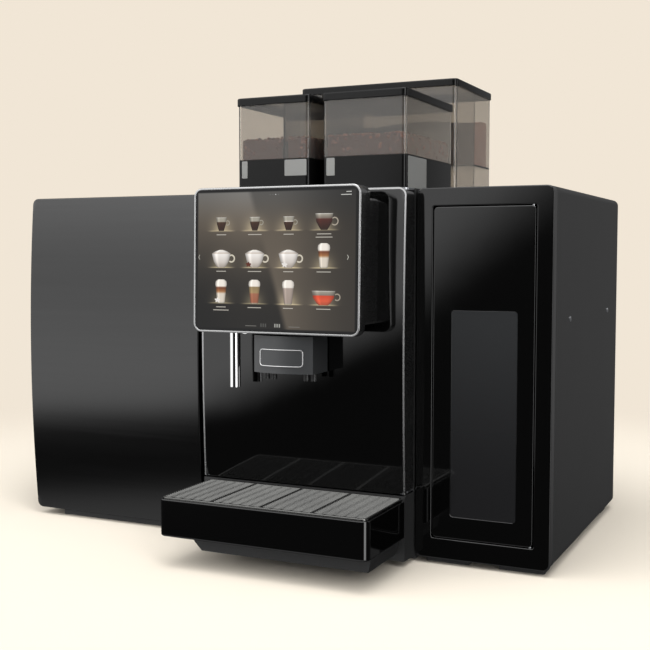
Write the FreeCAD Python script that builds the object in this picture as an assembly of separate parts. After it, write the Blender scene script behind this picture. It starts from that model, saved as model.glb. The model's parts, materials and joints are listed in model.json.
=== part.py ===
import FreeCAD, Part
import math
import os

# Self-service bean-to-cup coffee machine (middle) between a milk cooler (left) and a syrup cabinet (right).
# Millimetres. X runs along the front, Y runs to the back, Z is up, and the floor is Z = 0.
# The origin is under the middle of the whole footprint.

os.makedirs("parts", exist_ok=True)

Vec = FreeCAD.Vector
AXIS_X = Vec(1, 0, 0)
AXIS_Y = Vec(0, 1, 0)
AXIS_Z = Vec(0, 0, 1)

# ---------------------------------------------------------------- driving dimensions

# the three units
unit_height = 546.0
unit_depth = 478.0
foot_height = 9.0
cooler_width = 338.0
machine_width = 335.0
syrup_width = 200.0
cooler_gap = 27.0
syrup_gap = 2.0
door_proud = 42.0
tray_reach = 142.0
casing_wall = 2.0
casing_corner = 10.0
fit_gap = 0.2
running_gap = 0.05

# milk cooler
cooler_door_thick = 40.0
cooler_door_bow = 13.0
cooler_door_set_back = 3.0
cooler_door_lift = 3.0
seal_thick = 3.8
seal_gap = 0.2
seal_inset = 4.0
seal_width = 12.0
liner_wall = 24.0
liner_depth = 300.0
liner_corner = 12.0
door_liner_inset = 14.0
door_liner_thick = 33.0
door_dish_inset = 30.0
door_dish_depth = 8.0
cooler_pin_in = 8.0
cooler_pin_back = 20.0
hinge_pin_radius = 3.0
hinge_pin_length = 14.0
hinge_plate_thick = 3.0
hinge_plate_half = 7.0
hinge_pocket_gap = 1.0
plinth_inset = 43.0
plinth_set_back = 18.0
milk_width = 190.0
milk_depth = 190.0
milk_height = 250.0
milk_wall = 3.0
milk_corner = 20.0
milk_set_back = 50.0
milk_lid_thick = 4.0
milk_lid_skirt = 12.0
hose_radius = 4.0
hose_bend = 30.0
hose_rise = 60.0
hose_reach = 40.0
hose_back = 30.0
compressor_radius = 48.0
compressor_height = 110.0
fan_radius = 52.0
fan_hub_radius = 12.0
fan_blade_thick = 2.0
fan_blades = 7
fan_pin_radius = 3.0
fan_height = 330.0

# syrup cabinet
syrup_door_thick = 18.0
syrup_margin_side = 24.5
syrup_margin_top = 26.0
syrup_margin_bottom = 30.0
syrup_door_gap = 1.5
syrup_door_corner = 6.0
syrup_opening_corner = 3.0
syrup_pin_in = 4.0
syrup_pin_radius = 2.0
syrup_pin_length = 10.0
syrup_edge_round = 2.0
window_left = 27.0
window_right = 24.0
window_top = 147.0
window_bottom = 32.0
window_thick = 4.0
window_ledge = 4.0
window_recess = 1.0
window_corner = 5.0
bottle_radius = 38.0
bottle_height = 215.0
bottle_neck_radius = 13.0
bottle_neck_height = 24.0
bottle_pitch = 100.0
bottle_count = 3
bottle_front_space = 75.0
cap_radius = 17.0
cap_height = 22.0
dip_tube_radius = 4.0
pump_bottom = 420.0
pump_height = 66.0
pump_depth = 60.0
pump_head_radius = 24.0
pump_head_length = 22.0
foot_width = 66.0
foot_depth = 40.0
foot_set_back = 15.0
foot_side_inset = 12.0
screw_radius = 4.0
screw_head = 1.0
screw_length = 8.0
screw_height = 357.0
screw_places = (108.0, 391.0)

# machine casing
door_bottom = 106.0
door_back_gap = 4.0
door_bow = 6.0
door_skin = 4.0
door_trim_wall = 2.5
door_corner = 12.0
door_cavity_wall = 9.0
door_cavity_skin = 10.0
door_pin_in = 9.0
door_pin_back = 22.0
deck_thick = 3.0
pan_thick = 3.0
pan_front_height = 104.0
tongue_reach = 103.0
tongue_bottom = 19.0
tongue_left = 45.0
tongue_right = 10.0
tongue_chamfer = 13.0
machine_foot_width = 60.0
machine_foot_inset = 3.0
link_thick = 3.0
link_reach = 40.0
link_width = 40.0
vent_count = 9
vent_width = 120.0
vent_height = 4.0
vent_pitch = 12.0

# display
display_width = 268.0
display_height = 211.0
display_left = 27.0
display_bottom = 337.0
display_stand_off = 68.0
display_top_thick = 35.0
display_low_thick = 20.0
display_corner = 13.0
display_tilt = 1.4
display_rim = 3.0
display_pane_thick = 3.0
display_wall = 5.0
neck_wall = 4.0
neck_left = 97.0
neck_width = 196.0
neck_low = 15.0
neck_high = 193.0

# spout and hot water
spout_left = 121.0
spout_width = 95.0
spout_bottom = 280.0
spout_height = 54.0
spout_reach = 63.0
spout_bow = 11.0
spout_clear = 3.0
tongue_width = 41.0
tongue_thick = 5.0
tongue_top = 467.0
rail_wall = 7.0
rail_gap = 0.3
rail_front_wall = 5.0
rail_low = 355.0
rail_high = 472.0
spout_travel = 95.0
badge_width = 70.0
badge_height = 25.0
badge_thick = 1.5
badge_low = 10.0
nozzle_radius = 4.5
nozzle_bore = 2.8
nozzle_drop = 12.0
nozzle_depth = 20.0
nozzle_edge = 9.0
nozzle_pitch = 12.0
nozzle_setback = 22.0
tube_radius = 8.0
tube_bore = 5.5
tube_left = 78.0
tube_stand_off = 33.0
tube_bottom = 254.0
tube_top = 352.0
tube_flange_radius = 13.0
tube_flange_thick = 4.0

# drip tray
tray_width = 328.0
tray_left = 11.0
tray_bottom = 46.0
tray_height = 54.0
tray_wall = 3.0
tray_ledge = 4.0
tray_corner = 12.0
tray_gap = 2.0
tray_lift_gap = 0.5
grid_thick = 6.0
grid_seat = 3.0
grid_gap = 0.5
grid_frame = 5.0
grid_fields = 4
grid_slots = 12
grid_slot_width = 3.2

# hoppers
bean_left_edge = 18.0
bean_left_width = 131.0
bean_right_edge = 167.0
bean_right_width = 141.0
bean_front = 34.0
bean_depth = 218.0
bean_lid_rise = 151.0
base_height = 54.0
hopper_wall = 3.0
hopper_corner = 9.0
lid_height = 12.0
lid_top_thick = 3.0
lid_overhang = 2.3
lid_skirt_wall = 2.0
partition_place = 83.0
powder_width = 290.0
powder_front = 266.0
powder_depth = 203.0
powder_lid_rise = 198.0
bean_fill_height = 36.0
powder_fill_low = 63.0
powder_fill_high = 143.0
powder_fill_front = 107.0
powder_fill_depth = 74.0
throat_radius = 22.0
chute_radius = 18.0

# inside the machine
grinder_radius = 46.0
grinder_height = 120.0
grinder_wall = 6.0
burr_radius = 32.0
burr_height = 12.0
burr_gap = 1.0
burr_shaft_radius = 5.0
burr_shaft_length = 40.0
grinder_back = 110.0
brew_width = 104.0
brew_depth = 110.0
brew_low = 215.0
brew_height = 150.0
brew_bore_radius = 24.0
brew_floor = 30.0
brew_back = 60.0
brew_leg = 14.0
piston_height = 34.0
piston_stem_radius = 8.0
piston_stem_length = 96.0
piston_travel = 45.0
boiler_radius = 55.0
boiler_height = 230.0
boiler_dome = 18.0
boiler_leg = 40.0
board_width = 190.0
board_height = 150.0
board_thick = 1.6
board_low = 330.0
board_stand = 8.0
bin_width = 150.0
bin_depth = 170.0
bin_height = 120.0
bin_wall = 2.5
bin_set_back = 30.0
switch_width = 14.0
switch_height = 24.0
switch_low = 120.0
switch_in = 40.0
switch_pivot_in = 8.0
switch_tilt = 7.0
switch_gap = 1.0
switch_proud = 2.0
gland_radius = 9.0
gland_bore = 4.5
gland_length = 20.0
gland_low = 80.0

# ---------------------------------------------------------------- layout from the driving dimensions

total_width = cooler_width + cooler_gap + machine_width + syrup_gap + syrup_width
total_depth = unit_depth + door_proud + tray_reach

x_cooler = -total_width / 2
x_cooler_end = x_cooler + cooler_width
x_machine = x_cooler_end + cooler_gap
x_machine_end = x_machine + machine_width
x_syrup = x_machine_end + syrup_gap
x_syrup_end = x_syrup + syrup_width

y_back = total_depth / 2
y_case_back = y_back - switch_proud
y_side = y_back - unit_depth
y_door = y_side - door_proud
y_tray = y_door - tray_reach

y_cooler_door_back = y_side + cooler_door_thick
y_cooler_case = y_cooler_door_back + seal_thick + seal_gap
y_syrup_case = y_side + syrup_door_thick
y_door_back = y_side - door_back_gap
y_pan_front = y_door + door_skin

cooler_pin = Vec(x_cooler + cooler_pin_in, y_side + cooler_pin_back, 0)
door_pin = Vec(x_machine_end - door_pin_in, y_door + door_pin_back, 0)
syrup_door_x0 = x_syrup + syrup_margin_side + syrup_door_gap
syrup_door_x1 = x_syrup_end - syrup_margin_side - syrup_door_gap
syrup_door_z0 = foot_height + syrup_margin_bottom + syrup_door_gap
syrup_door_z1 = unit_height - syrup_margin_top - syrup_door_gap
syrup_pin = Vec(syrup_door_x1 - syrup_pin_in, y_side + syrup_pin_in, 0)

cooler_door_z0 = foot_height + cooler_door_lift
deck_top = unit_height
deck_low = unit_height - deck_thick
panel_x0 = x_machine + casing_wall
panel_x1 = x_machine_end - casing_wall
display_x0 = x_machine + display_left
display_y = y_door - display_stand_off
spout_x0 = x_machine + spout_left
spout_x_mid = spout_x0 + spout_width / 2
spout_y = y_door - spout_reach
tube_x = x_machine + tube_left
tube_y = y_door - tube_stand_off
tray_x0 = x_machine + tray_left
tray_x1 = tray_x0 + tray_width
tray_y1 = y_pan_front - tray_gap
tray_top = tray_bottom + tray_height
bean_y0 = y_side + bean_front
powder_y0 = y_side + powder_front
bean_base_top = deck_top + base_height
bean_lid_top = deck_top + bean_lid_rise
powder_lid_top = deck_top + powder_lid_rise
fan_pin = Vec((x_cooler + x_cooler_end) / 2, y_cooler_case + liner_depth + 30.0, fan_height)


# ---------------------------------------------------------------- helpers

def block(x, y, z):
    """Box between two corners, each axis given as (low, high)."""
    return Part.makeBox(x[1] - x[0], y[1] - y[0], z[1] - z[0], Vec(x[0], y[0], z[0]))


def shrunk(pair, inset):
    """Both ends of a span moved inwards."""
    return (pair[0] + inset, pair[1] - inset)


def rod(base, axis, radius, length):
    """Cylinder from a base point along an axis."""
    return Part.makeCylinder(radius, length, base, axis)


def pipe(base, axis, radius, bore, length):
    """Cylinder with a bore right through."""
    return rod(base, axis, radius, length).cut(rod(base, axis, bore, length))


def rounded_outline(a, b, radius):
    """Closed wire of a rectangle in the XY plane with round corners; a and b are (low, high)."""
    a0, a1 = a
    b0, b1 = b
    reach = radius * math.cos(math.pi / 4)
    edges = []
    corners = [(a1 - radius, b0 + radius, -1), (a1 - radius, b1 - radius, 0),
               (a0 + radius, b1 - radius, 1), (a0 + radius, b0 + radius, 2)]
    points = []
    for ca, cb, quarter in corners:
        start = quarter * math.pi / 2
        first = Vec(ca + radius * math.cos(start), cb + radius * math.sin(start), 0)
        middle = Vec(ca + reach * math.copysign(1, math.cos(start + math.pi / 4)),
                     cb + reach * math.copysign(1, math.sin(start + math.pi / 4)), 0)
        last = Vec(ca + radius * math.cos(start + math.pi / 2), cb + radius * math.sin(start + math.pi / 2),
                   0)
        points.append((first, middle, last))
    for index, (first, middle, last) in enumerate(points):
        edges.append(Part.Arc(first, middle, last).toShape())
        following = points[(index + 1) % 4][0]
        edges.append(Part.makeLine(last, following))
    return Part.Wire(edges)


def column(x, y, z, radius):
    """Upright prism whose plan is a rounded rectangle."""
    shape = Part.Face(rounded_outline(x, y, radius)).extrude(Vec(0, 0, z[1] - z[0]))
    shape.translate(Vec(0, 0, z[0]))
    return shape


def plate(x, y, z, radius):
    """Prism along Y whose front view is a rounded rectangle."""
    shape = Part.Face(rounded_outline(x, z, radius)).extrude(Vec(0, 0, y[1] - y[0]))
    shape.rotate(Vec(0, 0, 0), AXIS_X, 90)
    shape.translate(Vec(0, y[1], 0))
    return shape


def profile_across(points, x):
    """Closed side profile of (y, z) points carried along X."""
    corners = [Vec(x[0], y, z) for y, z in points]
    wire = Part.makePolygon(corners + [corners[0]])
    return Part.Face(wire).extrude(Vec(x[1] - x[0], 0, 0))


def bowed_slab(x, z, y_front, y_rear, bow):
    """Slab along X whose front is one shallow arc, furthest forward at mid-height."""
    z_mid = (z[0] + z[1]) / 2
    low = Vec(x[0], y_front + bow, z[0])
    apex = Vec(x[0], y_front, z_mid)
    high = Vec(x[0], y_front + bow, z[1])
    rear_high = Vec(x[0], y_rear, z[1])
    rear_low = Vec(x[0], y_rear, z[0])
    edges = [Part.Arc(low, apex, high).toShape(), Part.makeLine(high, rear_high),
             Part.makeLine(rear_high, rear_low), Part.makeLine(rear_low, low)]
    return Part.Face(Part.Wire(edges)).extrude(Vec(x[1] - x[0], 0, 0))


def bowed_block(x, z, y_front, y_rear, bow):
    """Block whose front is one shallow arc in plan, furthest forward in the middle of its width."""
    x_mid = (x[0] + x[1]) / 2
    left = Vec(x[0], y_front + bow, z[0])
    apex = Vec(x_mid, y_front, z[0])
    right = Vec(x[1], y_front + bow, z[0])
    rear_right = Vec(x[1], y_rear, z[0])
    rear_left = Vec(x[0], y_rear, z[0])
    edges = [Part.Arc(left, apex, right).toShape(), Part.makeLine(right, rear_right),
             Part.makeLine(rear_right, rear_left), Part.makeLine(rear_left, left)]
    return Part.Face(Part.Wire(edges)).extrude(Vec(0, 0, z[1] - z[0]))


def turned(points, base):
    """Solid of revolution about the vertical line through base, from (radius, height) points."""
    corners = [Vec(r, 0, h) for r, h in points]
    wire = Part.makePolygon(corners + [corners[0]])
    shape = Part.Face(wire).revolve(Vec(0, 0, 0), AXIS_Z, 360)
    shape.translate(base)
    return shape


def vent_slots(x_mid, y, z_low):
    """Horizontal slots, one above the other, as solids to cut away."""
    slots = []
    for index in range(vent_count):
        z0 = z_low + index * vent_pitch
        slots.append(block((x_mid - vent_width / 2, x_mid + vent_width / 2), y, (z0, z0 + vent_height)))
    return Part.makeCompound(slots)


def save(name, shape):
    """Write one piece, or one group of equal pieces, to its own file."""
    solids = shape.Solids
    result = solids[0] if len(solids) == 1 else Part.makeCompound(solids)
    result.exportStep("parts/" + name + ".step")
    print(name, len(solids), "solids", round(sum(s.Volume for s in solids) / 1000.0, 1), "cm3")


# ---------------------------------------------------------------- milk cooler

def cooler_cabinet():
    """Steel casing, open at the front, with vent slots in the back wall."""
    x = (x_cooler, x_cooler_end)
    z = (foot_height, unit_height)
    inner_x = (x[0] + casing_wall, x[1] - casing_wall)
    inner_z = (z[0] + casing_wall, z[1] - casing_wall)
    shell = plate(x, (y_cooler_case, y_case_back), z, casing_corner)
    hollow = plate(inner_x, (y_cooler_case, y_case_back - casing_wall), inner_z, casing_corner - casing_wall)
    vents = vent_slots((x[0] + x[1]) / 2, (y_case_back - 2 * casing_wall, y_case_back + casing_wall),
                       fan_height)
    return shell.cut(hollow).cut(vents).cut(hose_hole())


def cooler_liner():
    """Insulated cabin, open at the front."""
    x = (x_cooler + casing_wall, x_cooler_end - casing_wall)
    z = (foot_height + casing_wall, unit_height - casing_wall)
    y_rear = y_cooler_case + liner_depth
    shell = plate(x, (y_cooler_case, y_rear), z, casing_corner - casing_wall)
    cabin_x = (x[0] + liner_wall, x[1] - liner_wall)
    cabin_z = (z[0] + liner_wall, z[1] - liner_wall)
    cabin = plate(cabin_x, (y_cooler_case, y_rear - liner_wall), cabin_z, liner_corner)
    return shell.cut(cabin).cut(hose_hole())


def cooler_door_outline(y_rear):
    """Bowed door body before its recess and hinge pockets are cut; the arc runs past the rounded ends."""
    x = (x_cooler, x_cooler_end)
    z = (cooler_door_z0, unit_height)
    y_apex = y_side + cooler_door_set_back - cooler_door_bow
    half = (z[1] - z[0]) / 2
    arc_radius = (half ** 2 + cooler_door_bow ** 2) / (2 * cooler_door_bow)
    long_half = half + casing_corner
    long_bow = arc_radius - math.sqrt(arc_radius ** 2 - long_half ** 2)
    body = bowed_slab(x, (z[0] - casing_corner, z[1] + casing_corner), y_apex, y_rear, long_bow)
    return body.common(plate(x, (y_apex - casing_corner, y_rear), z, casing_corner))


def cooler_door_recess(grow):
    """Space that the inner panel fills, seen from the back of the door."""
    x = (x_cooler + door_liner_inset - grow, x_cooler_end - door_liner_inset + grow)
    z = (cooler_door_z0 + door_liner_inset - grow, unit_height - door_liner_inset + grow)
    return block(x, (y_cooler_door_back - door_liner_thick, y_cooler_door_back), z)


def hinge_pocket(pin, z, side):
    """Room for a fixed hinge plate in the end of a door; side is -1 for a left edge, +1 for a right edge."""
    reach = hinge_plate_half + hinge_pocket_gap
    outer = side * 3 * reach
    x = sorted((pin.x - side * reach, pin.x + outer))
    return block(x, (pin.y - reach - 2.0, pin.y + 4 * reach), z)


def hinge_pin_bores(pin, z_low, z_high):
    """Two upright bores for the hinge pins, at the foot and the head of a door."""
    length = hinge_plate_thick + hinge_pin_length + hinge_pocket_gap
    low = rod(Vec(pin.x, pin.y, z_low), AXIS_Z, hinge_pin_radius + running_gap, length)
    high = rod(Vec(pin.x, pin.y, z_high - length), AXIS_Z, hinge_pin_radius + running_gap, length)
    return low.fuse(high)


def hinge_plates(pin, y_fixed, z_low, z_high):
    """Two flat hinge plates, each with its pin, that stand forward from the casing."""
    pieces = []
    for z0, pin_z in ((z_low, z_low), (z_high - hinge_plate_thick,
                                       z_high - hinge_plate_thick - hinge_pin_length)):
        arm = block((pin.x - hinge_plate_half, pin.x + hinge_plate_half), (pin.y, y_fixed),
                    (z0, z0 + hinge_plate_thick))
        eye = rod(Vec(pin.x, pin.y, z0), AXIS_Z, hinge_plate_half, hinge_plate_thick)
        stub = rod(Vec(pin.x, pin.y, pin_z), AXIS_Z, hinge_pin_radius, hinge_plate_thick + hinge_pin_length)
        pieces.append(arm.fuse([eye, stub]).removeSplitter())
    return Part.makeCompound(pieces)


def door_hinge_cuts(pin, z_low, z_high, side):
    """Everything a door loses for its two hinges."""
    height = hinge_plate_thick + hinge_pocket_gap
    low = hinge_pocket(pin, (z_low, z_low + height), side)
    high = hinge_pocket(pin, (z_high - height, z_high), side)
    return low.fuse([high, hinge_pin_bores(pin, z_low, z_high)])


def cooler_door():
    """Bowed outer door with a recess for the inner panel."""
    body = cooler_door_outline(y_cooler_door_back)
    cuts = door_hinge_cuts(cooler_pin, cooler_door_z0, unit_height, -1)
    return body.cut(cooler_door_recess(fit_gap)).cut(cuts)


def cooler_door_liner():
    """Moulded inner panel with a shallow dish."""
    panel = cooler_door_recess(0.0)
    box = panel.BoundBox
    dish_x = (box.XMin + door_dish_inset, box.XMax - door_dish_inset)
    dish_z = (box.ZMin + door_dish_inset, box.ZMax - door_dish_inset)
    dish = plate(dish_x, (box.YMax - door_dish_depth, box.YMax), dish_z, liner_corner)
    return panel.cut(dish)


def cooler_door_seal():
    """Ring gasket between the door and the cabin rim."""
    x = (x_cooler + seal_inset, x_cooler_end - seal_inset)
    z = (cooler_door_z0 + seal_inset, unit_height - seal_inset)
    y = (y_cooler_door_back, y_cooler_door_back + seal_thick)
    outer = plate(x, y, z, casing_corner - seal_inset)
    inner = plate((x[0] + seal_width, x[1] - seal_width), y, (z[0] + seal_width, z[1] - seal_width), 2.0)
    return outer.cut(inner)


def cooler_hinges():
    """Hinge plates of the cooler door."""
    return hinge_plates(cooler_pin, y_cooler_case, cooler_door_z0, unit_height)


def milk_place():
    """Plan of the milk container as (x pair, y pair) and its floor height."""
    x_mid = (x_cooler + x_cooler_end) / 2
    y0 = y_cooler_case + milk_set_back
    floor = foot_height + casing_wall + liner_wall
    return (x_mid - milk_width / 2, x_mid + milk_width / 2), (y0, y0 + milk_depth), floor


def milk_container():
    """Open-topped milk container with round upright corners."""
    x, y, floor = milk_place()
    outer = column(x, y, (floor, floor + milk_height), milk_corner)
    inner_x = (x[0] + milk_wall, x[1] - milk_wall)
    inner_y = (y[0] + milk_wall, y[1] - milk_wall)
    inner = column(inner_x, inner_y, (floor + milk_wall, floor + milk_height), milk_corner - milk_wall)
    return outer.cut(inner)


def hose_centre():
    """Plan point of the milk hose inside the container and the height of its level run."""
    x, y, floor = milk_place()
    return (x[0] + x[1]) / 2, y[1] - hose_back - milk_corner, floor + milk_height + hose_rise


def milk_container_lid():
    """Flat lid with an inner skirt and a hole for the hose."""
    x, y, floor = milk_place()
    top = floor + milk_height
    inset = milk_wall + fit_gap
    cover = column(x, y, (top, top + milk_lid_thick), milk_corner)
    plug_x = (x[0] + inset, x[1] - inset)
    plug_y = (y[0] + inset, y[1] - inset)
    plug = column(plug_x, plug_y, (top - milk_lid_skirt, top), milk_corner - inset)
    core_x = (plug_x[0] + milk_wall, plug_x[1] - milk_wall)
    core_y = (plug_y[0] + milk_wall, plug_y[1] - milk_wall)
    core = column(core_x, core_y, (top - milk_lid_skirt, top), milk_corner - inset - milk_wall)
    hose_x, hose_y, _ = hose_centre()
    hole = rod(Vec(hose_x, hose_y, top - milk_lid_skirt), AXIS_Z, hose_radius + fit_gap, 2 * milk_lid_skirt)
    return cover.fuse(plug.cut(core)).removeSplitter().cut(hole)


def milk_hose():
    """Suction hose: up from the container floor, then level through both casings into the machine."""
    hose_x, hose_y, level = hose_centre()
    _, _, floor = milk_place()
    foot = Vec(hose_x, hose_y, floor + milk_wall + 5.0)
    turn_start = Vec(hose_x, hose_y, level - hose_bend)
    diagonal = hose_bend * (1 - math.cos(math.pi / 4))
    turn_middle = Vec(hose_x + diagonal, hose_y, level - diagonal)
    turn_end = Vec(hose_x + hose_bend, hose_y, level)
    end = Vec(x_machine + hose_reach, hose_y, level)
    path = Part.Wire([Part.makeLine(foot, turn_start), Part.Arc(turn_start, turn_middle, turn_end).toShape(),
                      Part.makeLine(turn_end, end)])
    section = Part.Wire([Part.makeCircle(hose_radius, foot, AXIS_Z)])
    return path.makePipeShell([section], True, False)


def hose_hole():
    """Level hole for the hose through every wall between the cabin and the machine."""
    hose_x, hose_y, level = hose_centre()
    start = Vec(hose_x + hose_bend, hose_y, level)
    return rod(start, AXIS_X, hose_radius + fit_gap, x_machine + hose_reach - start.x)


def cooler_compressor():
    """Cooling unit behind the cabin: a domed pot on a foot plate, with its motor post for the fan."""
    x_mid = (x_cooler + x_cooler_end) / 2
    y_mid = (y_cooler_case + liner_depth + y_case_back - casing_wall) / 2
    floor = foot_height + casing_wall
    radius = min(compressor_radius, (y_case_back - casing_wall - y_cooler_case - liner_depth) / 2 - 3.0)
    foot = block((x_mid - radius, x_mid + radius), (y_mid - radius, y_mid + radius), (floor, floor + 6.0))
    pot = turned([(0, 0), (radius, 0), (radius, compressor_height - 24.0), (radius * 0.6, compressor_height),
                  (0, compressor_height)], Vec(x_mid, y_mid, floor + 6.0))
    post_y = (y_cooler_case + liner_depth, y_cooler_case + liner_depth + 12.0)
    post = block((x_mid - 14.0, x_mid + 14.0), post_y, (floor, fan_height + 14.0))
    pin = rod(Vec(x_mid, post_y[1], fan_height), AXIS_Y, fan_pin_radius, 30.0)
    bridge = block((x_mid - 14.0, x_mid + 14.0), (post_y[0], y_mid), (floor, floor + 30.0))
    return foot.fuse([pot, post, pin, bridge]).removeSplitter()


def cooler_fan():
    """Fan wheel that turns on the motor pin."""
    y0 = y_cooler_case + liner_depth + 16.0
    centre = Vec(fan_pin.x, y0, fan_pin.z)
    hub = rod(centre, AXIS_Y, fan_hub_radius, 18.0)
    wheel = hub
    for index in range(fan_blades):
        blade = block((0, fan_radius), (-7.0, 7.0), (-fan_blade_thick / 2, fan_blade_thick / 2))
        blade.rotate(Vec(0, 0, 0), AXIS_X, 35)
        blade.rotate(Vec(0, 0, 0), AXIS_Y, 360.0 * index / fan_blades)
        blade.translate(Vec(centre.x, y0 + 9.0, centre.z))
        wheel = wheel.fuse(blade)
    return wheel.cut(rod(centre, AXIS_Y, fan_pin_radius + running_gap, 18.0)).removeSplitter()


def cooler_plinth():
    """Set-in base that the cooler stands on."""
    x = (x_cooler + plinth_inset, x_cooler_end - link_reach - 20.0)
    y = (y_side + plinth_set_back, y_case_back - plinth_set_back)
    return column(x, y, (0, foot_height), 4.0)


# ---------------------------------------------------------------- syrup cabinet

def syrup_cabinet():
    """Casing, open at the front, with rear vents and two screw holes in the right wall."""
    x = (x_syrup, x_syrup_end - screw_head)
    z = (foot_height, unit_height)
    shell = plate(x, (y_syrup_case, y_case_back), z, casing_corner)
    inner_x = (x[0] + casing_wall, x[1] - casing_wall)
    inner_z = (z[0] + casing_wall, z[1] - casing_wall)
    hollow = plate(inner_x, (y_syrup_case, y_case_back - casing_wall), inner_z, casing_corner - casing_wall)
    vents = vent_slots((x[0] + x[1]) / 2, (y_case_back - 2 * casing_wall, y_case_back + casing_wall),
                       pump_bottom)
    shell = shell.cut(hollow).cut(vents)
    for place in screw_places:
        base = Vec(x[1] - screw_length, y_side + place, screw_height)
        shell = shell.cut(rod(base, AXIS_X, screw_radius / 2, 2 * screw_length))
    return shell


def side_screws():
    """Two screws in the right wall."""
    x_wall = x_syrup_end - screw_head
    pieces = []
    for place in screw_places:
        shank = rod(Vec(x_wall - screw_length, y_side + place, screw_height), AXIS_X, screw_radius / 2,
                    screw_length)
        head = rod(Vec(x_wall, y_side + place, screw_height), AXIS_X, screw_radius, screw_head)
        pieces.append(shank.fuse(head).removeSplitter())
    return Part.makeCompound(pieces)


def syrup_fascia():
    """Front frame round the inset door."""
    x = (x_syrup, x_syrup_end - screw_head)
    z = (foot_height, unit_height)
    y = (y_side, y_syrup_case)
    gap = syrup_door_gap
    open_x = (syrup_door_x0 - gap, syrup_door_x1 + gap)
    open_z = (syrup_door_z0 - gap, syrup_door_z1 + gap)
    frame = plate(x, y, z, casing_corner).cut(plate(open_x, y, open_z, syrup_opening_corner))
    return frame.cut(syrup_pin_rods(0.0))


def syrup_pin_rods(grow):
    """The two upright hinge pins between frame and door, or their bores when grown."""
    length = 2 * syrup_pin_length + syrup_door_gap
    low = rod(Vec(syrup_pin.x, syrup_pin.y, syrup_door_z0 - syrup_door_gap - syrup_pin_length), AXIS_Z,
              syrup_pin_radius + grow, length + grow)
    high = rod(Vec(syrup_pin.x, syrup_pin.y, syrup_door_z1 - syrup_pin_length - grow), AXIS_Z,
               syrup_pin_radius + grow, length + grow)
    return Part.makeCompound([low, high])


def window_place(inset):
    """Front view of the smoked pane, shrunk by an inset."""
    x = (syrup_door_x0 + window_left + inset, syrup_door_x1 - window_right - inset)
    z = (syrup_door_z0 + window_bottom + inset, syrup_door_z1 - window_top - inset)
    return x, z


def syrup_door():
    """Inset door with a stepped window opening and a softened hinge edge."""
    x = (syrup_door_x0, syrup_door_x1)
    z = (syrup_door_z0, syrup_door_z1)
    y = (y_side, y_syrup_case)
    body = plate(x, y, z, syrup_door_corner).common(column(x, y, z, syrup_edge_round))
    seat_x, seat_z = window_place(0.0)
    hole_x, hole_z = window_place(window_ledge)
    seat = plate(seat_x, (y_side, y_side + window_recess + window_thick), seat_z, window_corner)
    hole = plate(hole_x, y, hole_z, window_corner)
    return body.cut(seat).cut(hole).cut(syrup_pin_rods(running_gap))


def syrup_window():
    """Smoked pane in its seat."""
    x, z = window_place(fit_gap)
    y0 = y_side + window_recess
    return plate(x, (y0, y0 + window_thick), z, window_corner - fit_gap)


def bottle_places():
    """Foot points of the bottles, one behind the other."""
    x_mid = (x_syrup + x_syrup_end - screw_head) / 2
    floor = foot_height + casing_wall
    first = y_syrup_case + bottle_front_space
    return [Vec(x_mid, first + index * bottle_pitch, floor) for index in range(bottle_count)]


def syrup_bottles():
    """Bottles with a round shoulder and a neck."""
    shoulder = bottle_height - bottle_neck_height
    outline = [(0, 0), (bottle_radius - 4.0, 0), (bottle_radius, 4.0), (bottle_radius, shoulder - 30.0),
               (bottle_radius - 6.0, shoulder - 14.0), (bottle_neck_radius, shoulder),
               (bottle_neck_radius, bottle_height), (0, bottle_height)]
    return Part.makeCompound([turned(outline, place) for place in bottle_places()])


def syrup_caps():
    """Caps, each with the tube that rises to its pump."""
    pieces = []
    for place in bottle_places():
        top = place.z + bottle_height
        cap = rod(Vec(place.x, place.y, top - cap_height / 2), AXIS_Z, cap_radius, cap_height)
        seat = rod(Vec(place.x, place.y, top - cap_height / 2), AXIS_Z, bottle_neck_radius, cap_height / 2)
        riser = rod(Vec(place.x, place.y, top), AXIS_Z, dip_tube_radius, pump_bottom - top)
        pieces.append(cap.cut(seat).fuse(riser).removeSplitter())
    return Part.makeCompound(pieces)


def syrup_pumps():
    """Dosing pumps on the left wall, each with a round head."""
    pieces = []
    wall = x_syrup + casing_wall
    for place in bottle_places():
        y = (place.y - pump_depth / 2, place.y + pump_depth / 2)
        z = (pump_bottom, pump_bottom + pump_height)
        body = block((wall, place.x + 20.0), y, z)
        centre = Vec(place.x + 20.0, place.y, pump_bottom + pump_height / 2)
        head = rod(centre, AXIS_X, pump_head_radius, pump_head_length)
        pieces.append(body.fuse(head).removeSplitter())
    return Part.makeCompound(pieces)


def foot_blocks(x, y, width):
    """Four block feet under a unit, inside the given plan."""
    pieces = []
    for x0 in (x[0], x[1] - width):
        for y0 in (y[0], y[1] - foot_depth):
            pieces.append(column((x0, x0 + width), (y0, y0 + foot_depth), (0, foot_height), 3.0))
    return Part.makeCompound(pieces)


# ---------------------------------------------------------------- machine casing

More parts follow.
